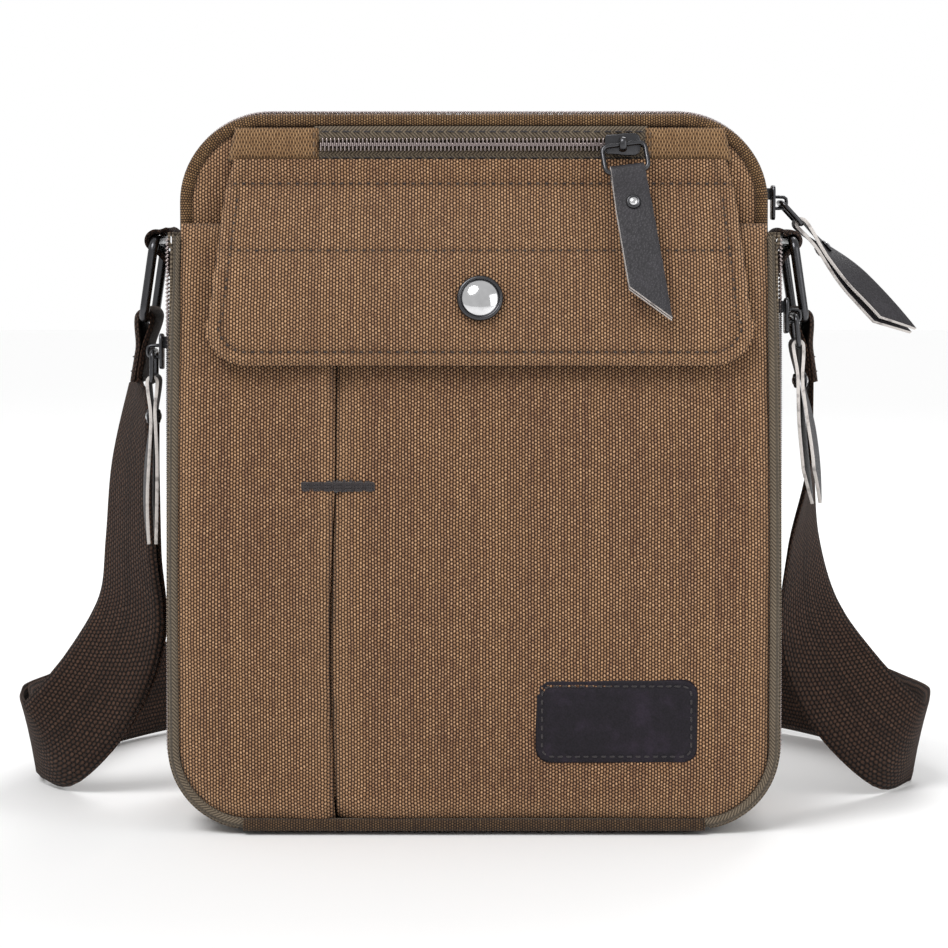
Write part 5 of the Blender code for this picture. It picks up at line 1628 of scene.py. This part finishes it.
def rings_and_tabs():
    for hand, sign in (("left", -1), ("right", 1)):
        hinge = Vector(JOINTS[hand + "_ring_hinge"]["pos_m"])
        matrix = Matrix.Translation(hinge) @ Matrix.Rotation(-sign * math.radians(RING_TILT), 4, "Y")
        loop = outline_points(19.5 * MM, -RING_DROP, 0, 4 * MM, 4 * MM, 1.2 * MM)
        wire = [matrix @ Vector((0, x, z)) for x, z, _, _ in loop]
        ring = cord(hand + "_ring_bar", wire, 1.65 * MM, [GUNMETAL], sides=14)
        place_on(ring, hand + "_strap_ring", hand + "_ring", slot="gunmetal")
        at_bar = matrix @ Matrix.Translation((0, 0, -RING_DROP))
        fold = folded_webbing(hand + "_strap_loop", at_bar, 1.9, 1.8, 22, 11, 35 * MM)
        parts = [fold]
        for drop in (-13.5, -18.5):
            line = [at_bar @ Vector((sign * 1.98 * MM, y, drop * MM)) for y in (-15.5 * MM, 15.5 * MM)]
            parts.append(stitches(f"{hand}_fold_row_{drop}", line, (sign, 0, 0), DARK_THREAD, radius=0.24 * MM))
        place_on(parts[0], hand + "_strap_ring", hand + "_strap_fold", slot="webbing")
        place_on(join(hand + "_strap_fold_stitches", parts[1:]), hand + "_strap_ring", slot="thread")
        rows = [(1.3, -25.5), (1.3, -20), (1.35, -14), (1.9, -9), (2.9, -5), (3.25, -2.2)]
        base_x = HALF_WIDTH - abs(hinge.x) + 1.3 * MM
        path = []
        for k in range(15):
            a = math.radians(-75 + 210 * k / 14)
            path.append((3.0 * math.cos(a), 3.0 * math.sin(a)))
        low = box(hand + "_strap_tab")[0]
        foot = (low.z - hinge.z) / MM
        flat = base_x / MM
        front = [(flat + 1.7, foot), (flat + 1.75, foot + 6), (flat + 1.9, foot + 11), (-3.6, -7.5), (-0.6, -3.9)]
        rear = [(-3.4, 3.6), (-5.8, 1.6), (flat, -2.0), (flat, -8), (flat, -14), (flat, foot)]
        line = front + [p for p in path if p[1] > -2.9] + rear
        frames = []
        smooth_line = [Vector((x, 0, z)) for x, z in line]
        dense = []
        for i in range(len(smooth_line) - 1):
            dense += [catmull(smooth_line, i, k / 4) for k in range(4)]
        dense.append(smooth_line[-1])
        for i, p in enumerate(dense):
            ahead = (dense[min(i + 1, len(dense) - 1)] - dense[max(i - 1, 0)]).normalized()
            place = hinge + Vector((sign * p.x, 0, p.z)) * MM
            ahead = Vector((sign * ahead.x, 0, ahead.z))
            frames.append((place, Vector((0, 1, 0)), ahead.cross(Vector((0, 1, 0)))))
        tab = webbing(hand + "_tab_webbing", frames, width=33 * MM, thick=1.5 * MM)
        place_on(tab, "bag", hand + "_strap_tab", slot="webbing")


def adjuster():
    low, high = box("strap_adjuster")
    x0 = (low.x + high.x) / 2
    y, z = REAR_RUN_Y, REAR_RUN_Z
    front_y, rear_y = low.y + 1.2 * MM, high.y - 1.2 * MM
    parts = []
    half_z = (high.z - low.z) / 2 - 1.2 * MM
    for x, bar_y in ((low.x + 1.2 * MM, rear_y), (high.x - 1.2 * MM, rear_y), (x0, front_y)):
        points = [(x, bar_y, z - half_z + 2 * half_z * k / 12) for k in range(13)]
        parts.append(cord(f"adjuster_bar_{len(parts)}", points, 1.35 * MM, [GUNMETAL], closed=False, sides=14))
    for side in (-1, 1):
        points = []
        for k in range(25):
            t = -1 + 2 * k / 24
            bar_y = rear_y + (front_y - rear_y) * math.cos(math.pi / 2 * t) ** 0.8 if abs(t) < 1 else rear_y
            points.append((x0 + t * (high.x - low.x - 2.4 * MM) / 2, bar_y, z + side * half_z))
        parts.append(cord(f"adjuster_rail_{side}", points, 1.35 * MM, [GUNMETAL], closed=False, sides=14))
    place_on(join("adjuster_frame", parts), "adjuster", "strap_adjuster", slot="gunmetal")
    low, high = box("strap_end_fold")
    turn = Matrix(((0, 0, 1), (1, 0, 0), (0, 1, 0))).to_4x4()
    at = Matrix.Translation((x0, front_y, z)) @ turn
    fold = folded_webbing("strap_end_loop", at, 1.75, 1.2, 22, 9, 35 * MM)
    place_on(fold, "adjuster", "strap_end_fold", slot="webbing")


# ---------------------------------------------------------------- stage

def stage():
    floor = make_object(
        "floor", [(-4, -4, 0), (4, -4, 0), (4, 4, 0), (-4, 4, 0)], [(0, 1, 2, 3)], [], [(0, 0)] * 4)
    pale = Graph("pale_floor")
    pale.set(Base_Color=rgb(0.95, 0.95, 0.95), Roughness=0.7, Specular_IOR_Level=0.2)
    floor.data.materials.append(pale.material)
    floor.location.z = CAD_BOX[0][2] - 0.3 * MM
    world = bpy.data.worlds.new("studio")
    bpy.context.scene.world = world
    world.use_nodes = True
    tree = world.node_tree
    seen, lit = tree.nodes["Background"], tree.nodes.new("ShaderNodeBackground")
    choose, ray = tree.nodes.new("ShaderNodeMixShader"), tree.nodes.new("ShaderNodeLightPath")
    seen.inputs[0].default_value = lit.inputs[0].default_value = rgb(1, 1, 1)
    seen.inputs[1].default_value = 1.0
    lit.inputs[1].default_value = 0.62
    tree.links.new(ray.outputs["Is Camera Ray"], choose.inputs[0])
    tree.links.new(lit.outputs[0], choose.inputs[1])
    tree.links.new(seen.outputs[0], choose.inputs[2])
    tree.links.new(choose.outputs[0], tree.nodes["World Output"].inputs[0])

    def area(name, place, target, size, power):
        light = bpy.data.lights.new(name, "AREA")
        light.energy = power
        light.size = size
        lamp = bpy.data.objects.new(name, light)
        bpy.context.scene.collection.objects.link(lamp)
        lamp.location = place
        lamp.rotation_euler = (Vector(target) - Vector(place)).to_track_quat("-Z", "Y").to_euler()

    sun = bpy.data.lights.new("key", "SUN")
    sun.energy = 1.75
    sun.angle = math.radians(28)
    lamp = bpy.data.objects.new("key", sun)
    bpy.context.scene.collection.objects.link(lamp)
    lamp.rotation_euler = Vector((0.42, 0.62, -0.95)).to_track_quat("-Z", "Y").to_euler()
    area("fill", (0.95, -0.7, 0.5), (0, 0, 0.1), 0.8, 3)
    area("rim", (0.3, 0.9, 1.1), (0, 0.05, 0.1), 0.6, 6)
    lens = bpy.data.cameras.new("camera")
    lens.lens = 115.4
    camera = bpy.data.objects.new("camera", lens)
    bpy.context.scene.collection.objects.link(camera)
    camera.location = (0, -1.04, 0.21)
    look = Vector((0, FRONT - 32 * MM, 0.1207)) - camera.location
    camera.rotation_euler = look.to_track_quat("-Z", "Y").to_euler()
    bpy.context.scene.camera = camera
    bpy.context.scene.view_settings.view_transform = "Standard"


main_panels()
piping()
gussets()
main_zip()
linings()
front_zip()
yoke()
pouch_cloth("left")
pouch_cloth("right")
pouch_inside()
side_zips()
binding()
bottom_strip()
bartack()
patch()
flap()
snap()
zip_hardware()
strap()
rings_and_tabs()
adjuster()
stage()
